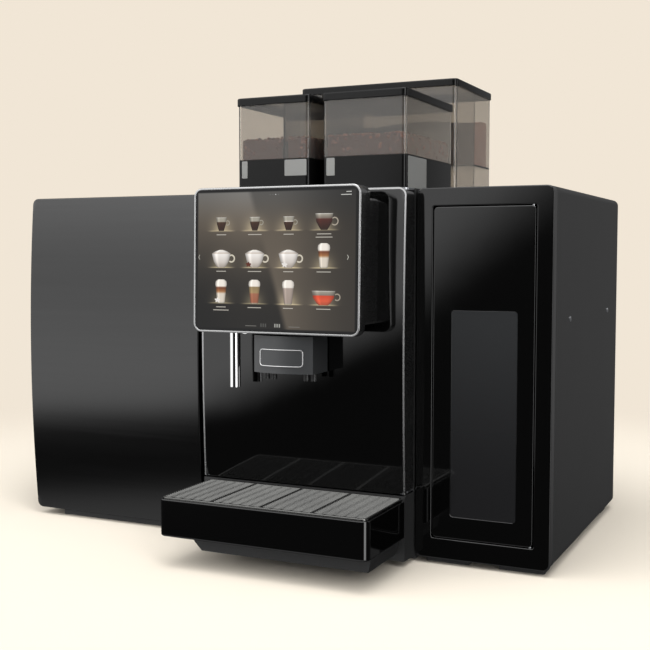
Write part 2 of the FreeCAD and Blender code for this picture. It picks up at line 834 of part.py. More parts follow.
def base_pan():
    """Chassis floor with an upstand behind the tray and a hollow tongue that carries the tray."""
    x = (panel_x0, panel_x1)
    floor = block(x, (y_pan_front, y_case_back - casing_wall), (foot_height, foot_height + pan_thick))
    upstand = block(x, (y_pan_front, y_pan_front + pan_thick), (foot_height, pan_front_height))
    top = tray_bottom - tray_lift_gap
    x0 = x_machine + tongue_left
    x1 = x_machine_end - tongue_right
    y = (y_pan_front - tongue_reach, y_pan_front)
    outline = [Vec(x0 + tongue_chamfer, y[0], tongue_bottom), Vec(x1 - 3.0, y[0], tongue_bottom),
               Vec(x1, y[0], tongue_bottom + tongue_chamfer), Vec(x1, y[0], top), Vec(x0, y[0], top),
               Vec(x0, y[0], tongue_bottom + tongue_chamfer)]
    tongue = Part.Face(Part.makePolygon(outline + [outline[0]])).extrude(Vec(0, y[1] - y[0], 0))
    hollow = block((x0 + tongue_chamfer + pan_thick, x1 - 3.0 - pan_thick),
                   (y[0] + pan_thick, y[1] - pan_thick),
                   (tongue_bottom, top - pan_thick))
    return floor.fuse([upstand, tongue.cut(hollow)]).removeSplitter()


def side_panel(x0):
    """L-shaped side panel: full height behind the door, low in front beside the upstand."""
    x = (x0, x0 + casing_wall)
    tall = block(x, (y_side, y_case_back), (foot_height, unit_height))
    low = block(x, (y_pan_front, y_side), (foot_height, pan_front_height))
    return tall.fuse(low).removeSplitter()


def left_side_panel():
    """Left panel with the hose hole."""
    return side_panel(x_machine).cut(hose_hole())


def right_side_panel():
    """Right panel."""
    return side_panel(panel_x1)


def rear_panel():
    """Back wall with vents, the switch opening and the gland hole."""
    y = (y_case_back - casing_wall, y_case_back)
    panel = block((panel_x0, panel_x1), y, (foot_height, deck_low))
    vents = vent_slots((x_machine + x_machine_end) / 2, (y[0] - casing_wall, y[1] + casing_wall), fan_height)
    centre = switch_centre()
    half_width = switch_width / 2 + switch_gap
    half_height = switch_height / 2 + switch_gap + 1.0
    window = block((centre.x - half_width, centre.x + half_width), (y[0] - casing_wall, y[1] + casing_wall),
                   (centre.z - half_height, centre.z + half_height))
    hole = rod(Vec(centre.x, y[0] - casing_wall, gland_low), AXIS_Y, gland_radius, 3 * casing_wall)
    return panel.cut(vents).cut(window).cut(hole)


def throat_places():
    """Centres of the two bean throats on the deck."""
    y = y_side + grinder_back
    left = x_machine + bean_left_edge + bean_left_width / 2
    right = x_machine + bean_right_edge + bean_right_width / 2
    return [Vec(left, y, 0), Vec(right, y, 0)]


def chute_place():
    """Centre of the powder chute on the deck."""
    return Vec(x_machine + bean_left_edge + powder_width / 2, powder_y0 + powder_depth / 2, 0)


def top_deck():
    """Deck between the side panels with the bean throats and the powder chute."""
    deck = block((panel_x0, panel_x1), (y_side, y_case_back), (deck_low, deck_top))
    for place in throat_places():
        deck = deck.cut(rod(Vec(place.x, place.y, deck_low), AXIS_Z, throat_radius, deck_thick))
    place = chute_place()
    return deck.cut(rod(Vec(place.x, place.y, deck_low), AXIS_Z, chute_radius, deck_thick))


def feet():
    """Rubber blocks under the machine and under the syrup cabinet."""
    machine_x = (x_machine + machine_foot_inset, x_machine_end - machine_foot_inset)
    syrup_x = (x_syrup + foot_side_inset, x_syrup_end - foot_side_inset)
    y = (y_side + foot_set_back, y_case_back - foot_set_back)
    blocks = [foot_blocks(machine_x, y, machine_foot_width), foot_blocks(syrup_x, y, foot_width)]
    return Part.makeCompound([solid for group in blocks for solid in group.Solids])


def link_plates():
    """Flat plates under the floors that tie the three units together, two across each gap."""
    pieces = []
    z = (foot_height - link_thick, foot_height)
    spans = ((x_cooler_end - link_reach, x_machine + link_reach),
             (x_machine_end - link_reach, x_syrup + link_reach))
    front = y_side + foot_set_back + foot_depth + 12.0
    rear = y_case_back - foot_set_back - foot_depth - 12.0 - link_width
    for x in spans:
        for y0 in (front, rear):
            pieces.append(block(x, (y0, y0 + link_width), z))
    return Part.makeCompound(pieces)


# ---------------------------------------------------------------- machine door

def door_z():
    """Height span of the machine door."""
    return (door_bottom, unit_height)


def door_outline(inset, y_front, y_rear, shift):
    """Bowed door body, narrowed by an inset at the sides and top, with its face moved back by a shift."""
    x = (x_machine + inset, x_machine_end - inset)
    z = (door_bottom, unit_height - inset)
    body = bowed_slab((x_machine, x_machine_end), door_z(), y_front + shift, y_rear, door_bow)
    radius = door_corner - inset
    round_top = plate(x, (y_front - door_corner, y_rear), (door_bottom - 3 * door_corner, z[1]), radius)
    return body.common(round_top)


def door_trim():
    """Bright edge rail round the sides and top of the door."""
    outer = door_outline(0.0, y_door, y_door_back, 0.0)
    inner = door_outline(door_trim_wall, y_door, y_door_back, 0.0)
    return outer.cut(inner).cut(door_hinge_cuts(door_pin, door_bottom, unit_height, 1))


def door_glass():
    """Bowed black front skin inside the rail."""
    full = door_outline(door_trim_wall, y_door, y_door_back, 0.0)
    behind = door_outline(door_trim_wall, y_door, y_door_back, door_skin)
    return full.cut(behind).cut(door_hinge_cuts(door_pin, door_bottom, unit_height, 1))


def front_door():
    """Door casting behind the skin, hollowed from the back."""
    body = door_outline(door_trim_wall, y_door, y_door_back, door_skin)
    x = (x_machine + door_trim_wall + door_cavity_wall, x_machine_end - door_trim_wall - 2 * door_pin_in)
    z = (door_bottom + door_cavity_wall, unit_height - door_trim_wall - door_cavity_wall)
    cavity = block(x, (y_door + door_skin + door_bow + door_cavity_skin, y_door_back), z)
    return body.cut(cavity).cut(door_hinge_cuts(door_pin, door_bottom, unit_height, 1))


def door_hinges():
    """Hinge plates of the machine door: the lower one stands on the upstand, the upper one on the deck."""
    return hinge_plates(door_pin, y_side, door_bottom, unit_height)


# ---------------------------------------------------------------- display

def tilted(shape):
    """Lean a display piece back about its lower front edge."""
    shape.rotate(Vec(0, display_y, display_bottom), AXIS_X, -display_tilt)
    return shape


def display_housing():
    """Wedge-shaped casing with a seat for the pane and a neck that reaches the door."""
    x = (display_x0, display_x0 + display_width)
    z = (display_bottom, display_bottom + display_height)
    wedge = profile_across([(display_y, z[0]), (display_y + display_low_thick, z[0]),
                            (display_y + display_top_thick, z[1]), (display_y, z[1])], x)
    rounded = wedge.common(plate(x, (display_y, display_y + display_top_thick), z, display_corner))
    seat_x = (x[0] + display_rim, x[1] - display_rim)
    seat_z = (z[0] + display_rim, z[1] - display_rim)
    seat = plate(seat_x, (display_y, display_y + display_pane_thick), seat_z, display_corner - display_rim)
    works_y = (display_y, display_y + display_low_thick - display_wall)
    works = block(shrunk(seat_x, display_wall), works_y, shrunk(seat_z, display_wall))
    shell = tilted(rounded.cut(seat).cut(works))
    neck_x = (x_machine + neck_left, x_machine + neck_left + neck_width)
    neck_z = (display_bottom + neck_low, display_bottom + neck_high)
    neck = plate(neck_x, (display_y + display_low_thick / 2 + display_pane_thick, y_door + door_bow),
                 neck_z, 6.0)
    neck_room = block(shrunk(neck_x, neck_wall),
                      (display_y + display_top_thick + neck_wall, y_door + door_bow),
                      shrunk(neck_z, neck_wall))
    door_solid = door_outline(0.0, y_door, y_door_back, 0.0)
    space_x, space_y = rail_space(rail_gap)
    tunnel = block(space_x, space_y, (rail_low - 2 * door_corner, rail_high + rail_gap))
    neck = neck.cut(tilted(works)).cut(neck_room).cut(door_solid).cut(tunnel)
    return shell.fuse(neck).removeSplitter()


def display_glass():
    """Touch pane in its seat."""
    x = (display_x0 + display_rim + fit_gap, display_x0 + display_width - display_rim - fit_gap)
    z = (display_bottom + display_rim + fit_gap, display_bottom + display_height - display_rim - fit_gap)
    pane = plate(x, (display_y + fit_gap, display_y + display_pane_thick), z,
                 display_corner - display_rim - fit_gap)
    return tilted(pane)


# ---------------------------------------------------------------- spout and hot water

def tongue_y():
    """Depth span of the sliding tongue in front of the door."""
    y1 = y_door - spout_clear
    return (y1 - tongue_thick, y1)


def rail_space(grow):
    """Plan of the guide rail, as (x pair, y pair), grown by a clearance."""
    half = tongue_width / 2 + rail_gap + rail_wall + grow
    y0 = tongue_y()[0] - rail_gap - rail_front_wall - grow
    return (spout_x_mid - half, spout_x_mid + half), (y0, y_door + door_bow)


def spout_rail():
    """Guide on the door, hidden behind the display, that the spout's tongue slides in."""
    x, y = rail_space(0.0)
    body = block(x, y, (rail_low, rail_high)).cut(door_outline(0.0, y_door, y_door_back, 0.0))
    half = tongue_width / 2 + rail_gap
    low, high = tongue_y()
    channel = block((spout_x_mid - half, spout_x_mid + half), (low - rail_gap, high + rail_gap),
                    (rail_low, rail_high))
    return body.cut(channel)


def nozzle_places():
    """Plan points of the four outlet tubes, in two pairs."""
    places = []
    for side in (-1, 1):
        outer = spout_x_mid + side * (spout_width / 2 - nozzle_edge)
        inner = outer - side * nozzle_pitch
        places.append(Vec(outer, spout_y + spout_bow + nozzle_setback, 0))
        places.append(Vec(inner, spout_y + spout_bow + nozzle_setback, 0))
    return places


def spout_housing():
    """Outlet block with a bowed front and the tongue that slides in the guide."""
    x = (spout_x0, spout_x0 + spout_width)
    z = (spout_bottom, spout_bottom + spout_height)
    low, high = tongue_y()
    body = bowed_block(x, z, spout_y, high, spout_bow)
    tongue = block((spout_x_mid - tongue_width / 2, spout_x_mid + tongue_width / 2), (low, high),
                   (z[0], tongue_top))
    housing = body.fuse(tongue).removeSplitter()
    for place in nozzle_places():
        housing = housing.cut(rod(Vec(place.x, place.y, z[0]), AXIS_Z, nozzle_radius, nozzle_depth))
    return housing


def spout_badge():
    """Blank curved plate on the front of the spout."""
    x = (spout_x0, spout_x0 + spout_width)
    z = (spout_bottom + badge_low, spout_bottom + badge_low + badge_height)
    outer = bowed_block(x, z, spout_y - badge_thick, spout_y + spout_bow, spout_bow)
    inner = bowed_block(x, z, spout_y, spout_y + spout_bow + 1.0, spout_bow)
    span = (spout_x_mid - badge_width / 2, spout_x_mid + badge_width / 2)
    window = plate(span, (spout_y - 2 * badge_thick, spout_y + spout_bow), z, 3.0)
    return outer.cut(inner).common(window)


def spout_nozzles():
    """Outlet tubes."""
    pieces = []
    for place in nozzle_places():
        base = Vec(place.x, place.y, spout_bottom - nozzle_drop)
        pieces.append(pipe(base, AXIS_Z, nozzle_radius, nozzle_bore, nozzle_drop + nozzle_depth))
    return Part.makeCompound(pieces)


def hot_water_tube():
    """Upright outlet tube with an elbow and a flange on the door."""
    upright = rod(Vec(tube_x, tube_y, tube_bottom), AXIS_Z, tube_radius, tube_top - tube_radius - tube_bottom)
    knee = Part.makeSphere(tube_radius, Vec(tube_x, tube_y, tube_top - tube_radius))
    level = tube_top - tube_radius
    reach = y_door + door_bow - tube_y
    arm = rod(Vec(tube_x, tube_y, level), AXIS_Y, tube_radius, reach)
    flange_y = y_door - tube_flange_thick
    flange = rod(Vec(tube_x, flange_y, level), AXIS_Y, tube_flange_radius, tube_flange_thick + door_bow)
    solid = upright.fuse([knee, arm, flange]).cut(door_outline(0.0, y_door, y_door_back, 0.0))
    bore = rod(Vec(tube_x, tube_y, tube_bottom), AXIS_Z, tube_bore, tube_top - 2 * tube_radius - tube_bottom)
    return solid.cut(bore).removeSplitter()


# ---------------------------------------------------------------- drip tray

def drip_tray():
    """Tray with a basin and a ledge that carries the grid."""
    x = (tray_x0, tray_x1)
    y = (y_tray, tray_y1)
    outer = column(x, y, (tray_bottom, tray_top), tray_corner)
    inset = tray_wall
    seat = column((x[0] + inset, x[1] - inset), (y[0] + inset, y[1] - inset),
                  (tray_top - grid_seat, tray_top),
                  tray_corner - inset)
    deep = tray_wall + tray_ledge
    basin = column((x[0] + deep, x[1] - deep), (y[0] + deep, y[1] - deep),
                   (tray_bottom + tray_wall, tray_top),
                   tray_corner - deep)
    return outer.cut(seat).cut(basin)


def drip_grid():
    """Slotted cup grid in four fields."""
    inset = tray_wall + grid_gap
    x = (tray_x0 + inset, tray_x1 - inset)
    y = (y_tray + inset, tray_y1 - inset)
    z = (tray_top - grid_seat, tray_top - grid_seat + grid_thick)
    grid = column(x, y, z, tray_corner - inset)
    field = (x[1] - x[0] - grid_frame) / grid_fields
    pitch = (field - grid_frame) / grid_slots
    slots = []
    for column_index in range(grid_fields):
        start = x[0] + grid_frame + column_index * field
        for slot_index in range(grid_slots):
            x0 = start + (slot_index + 0.5) * pitch - grid_slot_width / 2
            slots.append(block((x0, x0 + grid_slot_width), (y[0] + 2 * grid_frame, y[1] - 2 * grid_frame), z))
    return grid.cut(Part.makeCompound(slots))


# ---------------------------------------------------------------- hoppers

def bean_plan(edge, width):
    """Plan of a bean hopper as (x pair, y pair)."""
    x0 = x_machine + edge
    return (x0, x0 + width), (bean_y0, bean_y0 + bean_depth)


def powder_plan():
    """Plan of the powder hopper as (x pair, y pair)."""
    x0 = x_machine + bean_left_edge
    return (x0, x0 + powder_width), (powder_y0, powder_y0 + powder_depth)


def hopper_walls(plan, z_low, z_high):
    """Clear upright walls, open at the top and the bottom."""
    x, y = plan
    outer = column(shrunk(x, lid_overhang), shrunk(y, lid_overhang), (z_low, z_high),
                   hopper_corner - lid_overhang)
    inset = lid_overhang + hopper_wall
    inner = column(shrunk(x, inset), shrunk(y, inset), (z_low, z_high), hopper_corner - inset)
    return outer.cut(inner)


def bean_hopper_left():
    """Clear left hopper with a partition between its two chambers."""
    plan = bean_plan(bean_left_edge, bean_left_width)
    z = (bean_base_top, bean_lid_top - lid_top_thick)
    inset = lid_overhang + hopper_wall
    x0 = plan[0][0] + partition_place
    partition = block((x0, x0 + hopper_wall), shrunk(plan[1], inset - 1.0), z)
    return hopper_walls(plan, z[0], z[1]).fuse(partition).removeSplitter()


def bean_hopper_right():
    """Clear right hopper."""
    plan = bean_plan(bean_right_edge, bean_right_width)
    return hopper_walls(plan, bean_base_top, bean_lid_top - lid_top_thick)


def powder_inside(z):
    """Inner space of the rear hopper over a height span."""
    x, y = powder_plan()
    inset = lid_overhang + hopper_wall
    return column(shrunk(x, inset), shrunk(y, inset), z, hopper_corner - inset)


def powder_chute():
    """Round passage from the bin floor down to the deck."""
    place = chute_place()
    return rod(Vec(place.x, place.y, deck_top), AXIS_Z, chute_radius, powder_fill_low)


def powder_hopper():
    """Clear rear hopper with a floor on the deck."""
    plan = powder_plan()
    outer = column(shrunk(plan[0], lid_overhang), shrunk(plan[1], lid_overhang),
                   (deck_top, powder_lid_top - lid_top_thick), hopper_corner - lid_overhang)
    inner = powder_inside((deck_top + hopper_wall, powder_lid_top))
    return outer.cut(inner).cut(powder_chute())


def powder_bin():
    """Clear insert of the rear hopper: a cross wall and a raised floor behind it."""
    x, y = powder_plan()
    y0 = y[0] + powder_fill_front - hopper_wall
    wall = block(x, (y0, y0 + hopper_wall), (deck_top + hopper_wall, powder_lid_top - lid_top_thick))
    raised = block(x, (y0, y[1]), (deck_top + powder_fill_low - hopper_wall, deck_top + powder_fill_low))
    inside = powder_inside((deck_top + hopper_wall, powder_lid_top - lid_top_thick))
    return wall.fuse(raised).common(inside).cut(powder_chute()).removeSplitter()


def hopper_bases():
    """Dark bases of the two bean hoppers, each with its throat."""
    pieces = []
    plans = (bean_plan(bean_left_edge, bean_left_width), bean_plan(bean_right_edge, bean_right_width))
    for plan, place in zip(plans, throat_places()):
        body = column(shrunk(plan[0], lid_overhang), shrunk(plan[1], lid_overhang), (deck_top, bean_base_top),
                      hopper_corner - lid_overhang)
        pieces.append(body.cut(rod(Vec(place.x, place.y, deck_top), AXIS_Z, throat_radius, base_height)))
    return Part.makeCompound(pieces)


def hopper_lid(plan, top):
    """Flat lid with a skirt round the hopper walls."""
    x, y = plan
    outer = column(x, y, (top - lid_height, top), hopper_corner)
    skirt = lid_overhang - fit_gap
    inner = column(shrunk(x, skirt), shrunk(y, skirt), (top - lid_height, top - lid_top_thick),
                   hopper_corner - skirt)
    return outer.cut(inner)


def bean_lid_left():
    """Lid of the left hopper."""
    return hopper_lid(bean_plan(bean_left_edge, bean_left_width), bean_lid_top)


def bean_lid_right():
    """Lid of the right hopper."""
    return hopper_lid(bean_plan(bean_right_edge, bean_right_width), bean_lid_top)


def powder_lid():
    """Lid of the powder hopper."""
    return hopper_lid(powder_plan(), powder_lid_top)


def hopper_fill():
    """Beans in the two chambers of the left hopper and in the right hopper, and powder in the rear one."""
    inset = lid_overhang + hopper_wall + fit_gap
    z = (bean_base_top, bean_base_top + bean_fill_height)
    left_x, left_y = bean_plan(bean_left_edge, bean_left_width)
    partition = left_x[0] + partition_place
    first = block((left_x[0] + inset + 1.0, partition - fit_gap), shrunk(left_y, inset + 1.0), z)
    second = block((partition + hopper_wall + fit_gap, left_x[1] - inset - 1.0),
                   shrunk(left_y, inset + 1.0), z)
    right_x, right_y = bean_plan(bean_right_edge, bean_right_width)
    third = block(shrunk(right_x, inset + 1.0), shrunk(right_y, inset + 1.0), z)
    powder_x, _ = powder_plan()
    y0 = powder_y0 + powder_fill_front + fit_gap
    powder = block(shrunk(powder_x, inset + 1.0), (y0, y0 + powder_fill_depth),
                   (deck_top + powder_fill_low, deck_top + powder_fill_high))
    return Part.makeCompound([first, second, third, powder])


# ---------------------------------------------------------------- inside the machine

def burr_low():
    """Height of the underside of the burrs."""
    return deck_low - grinder_wall - burr_gap - burr_height


def grinder_housings():
    """Grinder bodies under the bean throats, each hollow round its burr and bored for the shaft."""
    pieces = []
    for place in throat_places():
        low = deck_low - grinder_height
        body = rod(Vec(place.x, place.y, low), AXIS_Z, grinder_radius, grinder_height)
        chamber_low = burr_low() - burr_gap
        chamber = rod(Vec(place.x, place.y, chamber_low), AXIS_Z, burr_radius + burr_gap,
                      deck_low - grinder_wall - chamber_low)
        throat = rod(Vec(place.x, place.y, deck_low - grinder_wall), AXIS_Z, throat_radius, grinder_wall)
        bore = rod(Vec(place.x, place.y, burr_low() - burr_shaft_length - burr_gap), AXIS_Z,
                   burr_shaft_radius + running_gap, burr_shaft_length + burr_gap)
        spout = rod(Vec(place.x, place.y, chamber_low + burr_gap), Vec(0, 1, 0), burr_height / 3,
                    grinder_radius)
        pieces.append(body.cut(chamber).cut(throat).cut(bore).cut(spout))
    return Part.makeCompound(pieces)


def burr(place):
    """Toothed burr disc on its shaft."""
    low = burr_low()
    disc = turned([(0, 0), (burr_radius, 0), (burr_radius, burr_height * 0.6),
                   (burr_shaft_radius * 2, burr_height),
                   (0, burr_height)], Vec(place.x, place.y, low))
    shaft = rod(Vec(place.x, place.y, low - burr_shaft_length), AXIS_Z, burr_shaft_radius, burr_shaft_length)
    return disc.fuse(shaft).removeSplitter()


def burr_left():
    """Burr of the left grinder."""
    return burr(throat_places()[0])


def burr_right():
    """Burr of the right grinder."""
    return burr(throat_places()[1])


def brew_centre():
    """Plan point of the brewing chamber."""
    return Vec((x_machine + x_machine_end) / 2, y_side + brew_back + brew_depth / 2, 0)


def brew_unit():
    """Brewing block on two legs, bored for the piston."""
    centre = brew_centre()
    x = (centre.x - brew_width / 2, centre.x + brew_width / 2)
    y = (centre.y - brew_depth / 2, centre.y + brew_depth / 2)
    body = block(x, y, (brew_low, brew_low + brew_height))
    legs = []
    floor = foot_height + pan_thick
    for x0 in (x[0], x[1] - brew_leg):
        legs.append(block((x0, x0 + brew_leg), (y[1] - brew_leg, y[1]), (floor, brew_low)))
    bore = rod(Vec(centre.x, centre.y, brew_low + brew_floor), AXIS_Z, brew_bore_radius + running_gap,
               brew_height - brew_floor)
    return body.fuse(legs).cut(bore).removeSplitter()


def brew_piston():
    """Piston with its stem, at the top of its stroke."""
    centre = brew_centre()
    low = brew_low + brew_floor + piston_travel + 5.0
    head = rod(Vec(centre.x, centre.y, low), AXIS_Z, brew_bore_radius, piston_height)
    stem = rod(Vec(centre.x, centre.y, low + piston_height), AXIS_Z, piston_stem_radius, piston_stem_length)
    return head.fuse(stem).removeSplitter()


def boiler():
    """Upright boiler with domed ends on three legs."""
    centre = Vec(x_machine_end - casing_wall - boiler_radius - 20.0, y_case_back - boiler_radius - 30.0, 0)
    floor = foot_height + pan_thick
    outline = [(0, 0), (boiler_radius * 0.6, 0), (boiler_radius, boiler_dome),
               (boiler_radius, boiler_height - boiler_dome), (boiler_radius * 0.6, boiler_height),
               (0, boiler_height)]
    tank = turned(outline, Vec(centre.x, centre.y, floor + boiler_leg))
    legs = []
    for index in range(3):
        angle = 2 * math.pi * index / 3
        foot = Vec(centre.x + boiler_radius * 0.7 * math.cos(angle),
                   centre.y + boiler_radius * 0.7 * math.sin(angle),
                   floor)
        legs.append(rod(foot, AXIS_Z, 5.0, boiler_leg + boiler_dome))
    union = rod(Vec(centre.x, centre.y, floor + boiler_leg + boiler_height), AXIS_Z, 9.0, 16.0)
    return tank.fuse(legs + [union]).removeSplitter()


def control_board():
    """Circuit board on stand-offs in front of the rear panel."""
    x_mid = (x_machine + x_machine_end) / 2 - 40.0
    y_wall = y_case_back - casing_wall
    x = (x_mid - board_width / 2, x_mid + board_width / 2)
    z = (board_low, board_low + board_height)
    board = block(x, (y_wall - board_stand - board_thick, y_wall - board_stand), z)
    pieces = []
    for post_x in (x[0] + 6.0, x[1] - 6.0):
        for post_z in (z[0] + 6.0, z[1] - 6.0):
            pieces.append(rod(Vec(post_x, y_wall - board_stand, post_z), AXIS_Y, 3.0, board_stand))
    chips = ((20.0, 20.0, 40.0, 30.0, 14.0), (80.0, 30.0, 30.0, 30.0, 8.0), (130.0, 90.0, 40.0, 40.0, 22.0),
             (30.0, 90.0, 70.0, 18.0, 10.0))
    front = y_wall - board_stand - board_thick
    for left, low, width, height, depth in chips:
        pieces.append(block((x[0] + left, x[0] + left + width), (front - depth, front),
                            (z[0] + low, z[0] + low + height)))
    return board.fuse(pieces).removeSplitter()


def grounds_container():
    """Open-topped bin for spent grounds, behind the lower part of the door."""
    centre = brew_centre()
    floor = foot_height + pan_thick
    x = (centre.x - bin_width / 2, centre.x + bin_width / 2)
    y = (y_side + bin_set_back, y_side + bin_set_back + min(bin_depth,
                                                            brew_back + brew_depth - brew_leg - bin_set_back))
    outer = column(x, y, (floor, floor + bin_height), 10.0)
    inner = column(shrunk(x, bin_wall), shrunk(y, bin_wall), (floor + bin_wall, floor + bin_height),
                   10.0 - bin_wall)
    return outer.cut(inner)


def switch_centre():
    """Pivot of the mains rocker."""
    return Vec(panel_x0 + switch_in, y_case_back - switch_pivot_in, switch_low)


def mains_switch():
    """Rocker in the rear panel with a shallow V face, tilted to its off side."""
    centre = switch_centre()
    x = (centre.x - switch_width / 2, centre.x + switch_width / 2)
    half = switch_height / 2
    middle = y_case_back - switch_proud / 2
    end = middle + half * math.tan(math.radians(switch_tilt))
    points = [(centre.y, centre.z - half / 2), (end, centre.z - half), (middle, centre.z),
              (end, centre.z + half),
              (centre.y, centre.z + half / 2)]
    rocker = profile_across(points, x)
    hub = rod(Vec(x[0], centre.y, centre.z), AXIS_X, half / 2, switch_width)
    rocker = rocker.fuse(hub).removeSplitter()
    rocker.rotate(centre, AXIS_X, -switch_tilt)
    return rocker


def cable_gland():
    """Gland for the mains lead in the rear panel."""
    centre = switch_centre()
    base = Vec(centre.x, y_case_back - gland_length, gland_low)
    barrel = rod(base, AXIS_Y, gland_radius, gland_length)
    flange = rod(Vec(centre.x, y_case_back, gland_low), AXIS_Y, gland_radius + 4.0, switch_proud)
    bore = rod(base, AXIS_Y, gland_bore, gland_length + switch_proud)
    return barrel.fuse(flange).cut(bore).removeSplitter()


# ---------------------------------------------------------------- write every piece

pieces = [
    cooler_cabinet, cooler_liner, cooler_door, cooler_door_liner, cooler_door_seal, cooler_hinges,
    milk_container, milk_container_lid, milk_hose, cooler_compressor, cooler_fan, cooler_plinth,
    syrup_cabinet, syrup_fascia, syrup_door, syrup_window, syrup_bottles, syrup_caps, syrup_pumps,
    side_screws, base_pan, left_side_panel, right_side_panel, rear_panel, top_deck, feet, link_plates,
    front_door, door_glass, door_trim, door_hinges, display_housing, display_glass,
    spout_rail, spout_housing, spout_badge, spout_nozzles, hot_water_tube, drip_tray, drip_grid,
    bean_hopper_left, bean_hopper_right, powder_hopper, powder_bin, hopper_bases, bean_lid_left,
    bean_lid_right, powder_lid,
    hopper_fill, grinder_housings, burr_left, burr_right, brew_unit, brew_piston, boiler, control_board,
    grounds_container, mains_switch, cable_gland,
]
for make in pieces:
    save(make.__name__, make())
save("syrup_hinge_pins", syrup_pin_rods(0.0))
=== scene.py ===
# %% [markdown]
# # A self-service coffee machine between a milk cooler and a syrup cabinet
# The object is a bank of three black units: a milk cooler on the left, the coffee machine with its
# touch display in the middle, and a syrup cabinet on the right. Its working shape comes from CAD.
# This lesson dresses that shape: it gives every piece a finish, and remakes the pieces that are seen
# most, because a CAD mesh has knife edges and a real edge always carries a thin line of light.

# %% Load the CAD frame
import json
import math

import bmesh
import bpy
import numpy as np
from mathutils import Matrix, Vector


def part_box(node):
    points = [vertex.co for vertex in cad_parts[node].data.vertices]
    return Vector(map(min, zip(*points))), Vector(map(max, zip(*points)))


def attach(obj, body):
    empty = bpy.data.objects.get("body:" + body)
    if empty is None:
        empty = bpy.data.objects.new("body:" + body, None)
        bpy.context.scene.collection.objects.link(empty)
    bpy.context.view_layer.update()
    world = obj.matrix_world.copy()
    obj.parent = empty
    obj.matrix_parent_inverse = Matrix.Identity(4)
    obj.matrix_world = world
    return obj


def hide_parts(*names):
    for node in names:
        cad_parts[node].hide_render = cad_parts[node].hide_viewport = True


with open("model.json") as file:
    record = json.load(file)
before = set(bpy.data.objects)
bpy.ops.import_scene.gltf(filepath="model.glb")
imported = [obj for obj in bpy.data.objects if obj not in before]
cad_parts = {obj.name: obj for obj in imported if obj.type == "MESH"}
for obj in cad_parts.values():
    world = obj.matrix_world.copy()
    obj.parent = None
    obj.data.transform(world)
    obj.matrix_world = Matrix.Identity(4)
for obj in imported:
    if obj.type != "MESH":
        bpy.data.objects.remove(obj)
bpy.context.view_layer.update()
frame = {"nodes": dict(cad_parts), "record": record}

MM = 0.001

# %% [markdown]
# ## Camera
# The object is seen from its right, a little below the tops of the units, with a normal lens.
# A camera looks down its own -Z, so it is first tipped up to the horizon and then turned to the left.

# %% Camera
CAMERA_PLACE = (0.799, -1.619, 0.450)
CAMERA_TURN = 25.25
CAMERA_PITCH = 3.7
LENS = 59.9

lens = bpy.data.cameras.new("camera")
lens.lens = LENS
lens.sensor_width = 36.0
camera = bpy.data.objects.new("camera", lens)
camera.location = CAMERA_PLACE
camera.rotation_euler = (math.radians(90 - CAMERA_PITCH), 0.0, math.radians(CAMERA_TURN))
bpy.context.scene.collection.objects.link(camera)
bpy.context.scene.camera = camera
bpy.context.scene.view_settings.view_transform = "Standard"
print("camera at", CAMERA_PLACE)

# %% [markdown]
# ## Sums in a shader
# A finish is often a sum: noise times a share, plus a mask. Placing a Math node by hand for every sign
# is slow to read, so one small class wraps a socket and lets Python's own signs add those nodes.
# Anything that isn't a sum of numbers comes from its one method, node().


# %% One class for shader sums
class Value:
    """A socket of a node tree; + - and * between numbers add one Math node each."""

    def __init__(self, tree, socket=None):
        self.tree, self.socket = tree, socket

    def node(self, kind, settings=(), inputs=(), output=0):
        """Any other node: its type, its settings first, then the values or links of its sockets."""
        made = self.tree.nodes.new(kind)
        for key, value in dict(settings).items():
            setattr(made, key, value)
        for key, value in dict(inputs).items():
            if isinstance(value, Value):
                self.tree.links.new(value.socket, made.inputs[key])
            else:
                made.inputs[key].default_value = value
        return Value(self.tree, made.outputs[output] if made.outputs else None)

    def math(self, operation, *terms):
        return self.node("ShaderNodeMath", {"operation": operation}, dict(enumerate(terms)))

    def __add__(self, other):
        return self.math("ADD", self, other)

    def __sub__(self, other):
        return self.math("SUBTRACT", self, other)

    def __rsub__(self, other):
        return self.math("SUBTRACT", other, self)

    def __mul__(self, other):
        return self.math("MULTIPLY", self, other)

    __radd__, __rmul__ = __add__, __mul__

    def step(self, low, high):
        """0 below low and 1 above high, with a smooth rise between."""
        sizes = {0: self, 1: low, 2: high}
        return self.node("ShaderNodeMapRange", {"interpolation_type": "SMOOTHSTEP"}, sizes)

    def colour(self, dark, light):
        """A colour between two colours, with this number as the share of the second."""
        return self.node("ShaderNodeMix", {"data_type": "RGBA"}, {0: self, 6: dark, 7: light}, 2)


def linear(colours):
    """Screen colours from 0 to 1 as light: c / 12.92 up to 0.04045, above it ((c + 0.055) / 1.055)^2.4."""
    c = np.clip(colours, 0.0, 1.0)
    return np.where(c <= 0.04045, c / 12.92, ((c + 0.055) / 1.055) ** 2.4)


def rgb(red, green, blue):
    """Screen values from 0 to 255 as the colour of a socket."""
    return (*linear(np.array([red, green, blue]) / 255.0).tolist(), 1.0)


print("shader class ready")

# %% [markdown]
# ## The studio
# Black gloss shows nothing but what it reflects, so the room is what paints this object.
# The camera sees a plain pale backdrop. The reflections see a dark studio with one very large soft
# light ahead on the left, whose lower right edge is cut off at a slant, and a tall narrow light on
# the right that draws the bright lines along the upright edges. Worked out from direction alone,
# such a room costs nothing to render and never shows a lamp in the picture.

# %% World
BACKDROP = rgb(241, 230, 214)
BIG_LIGHT = 1.5
DARK_ROOM = 0.035
FLOOR_GLOW = 0.62
SIDE_LIGHT = 5.0

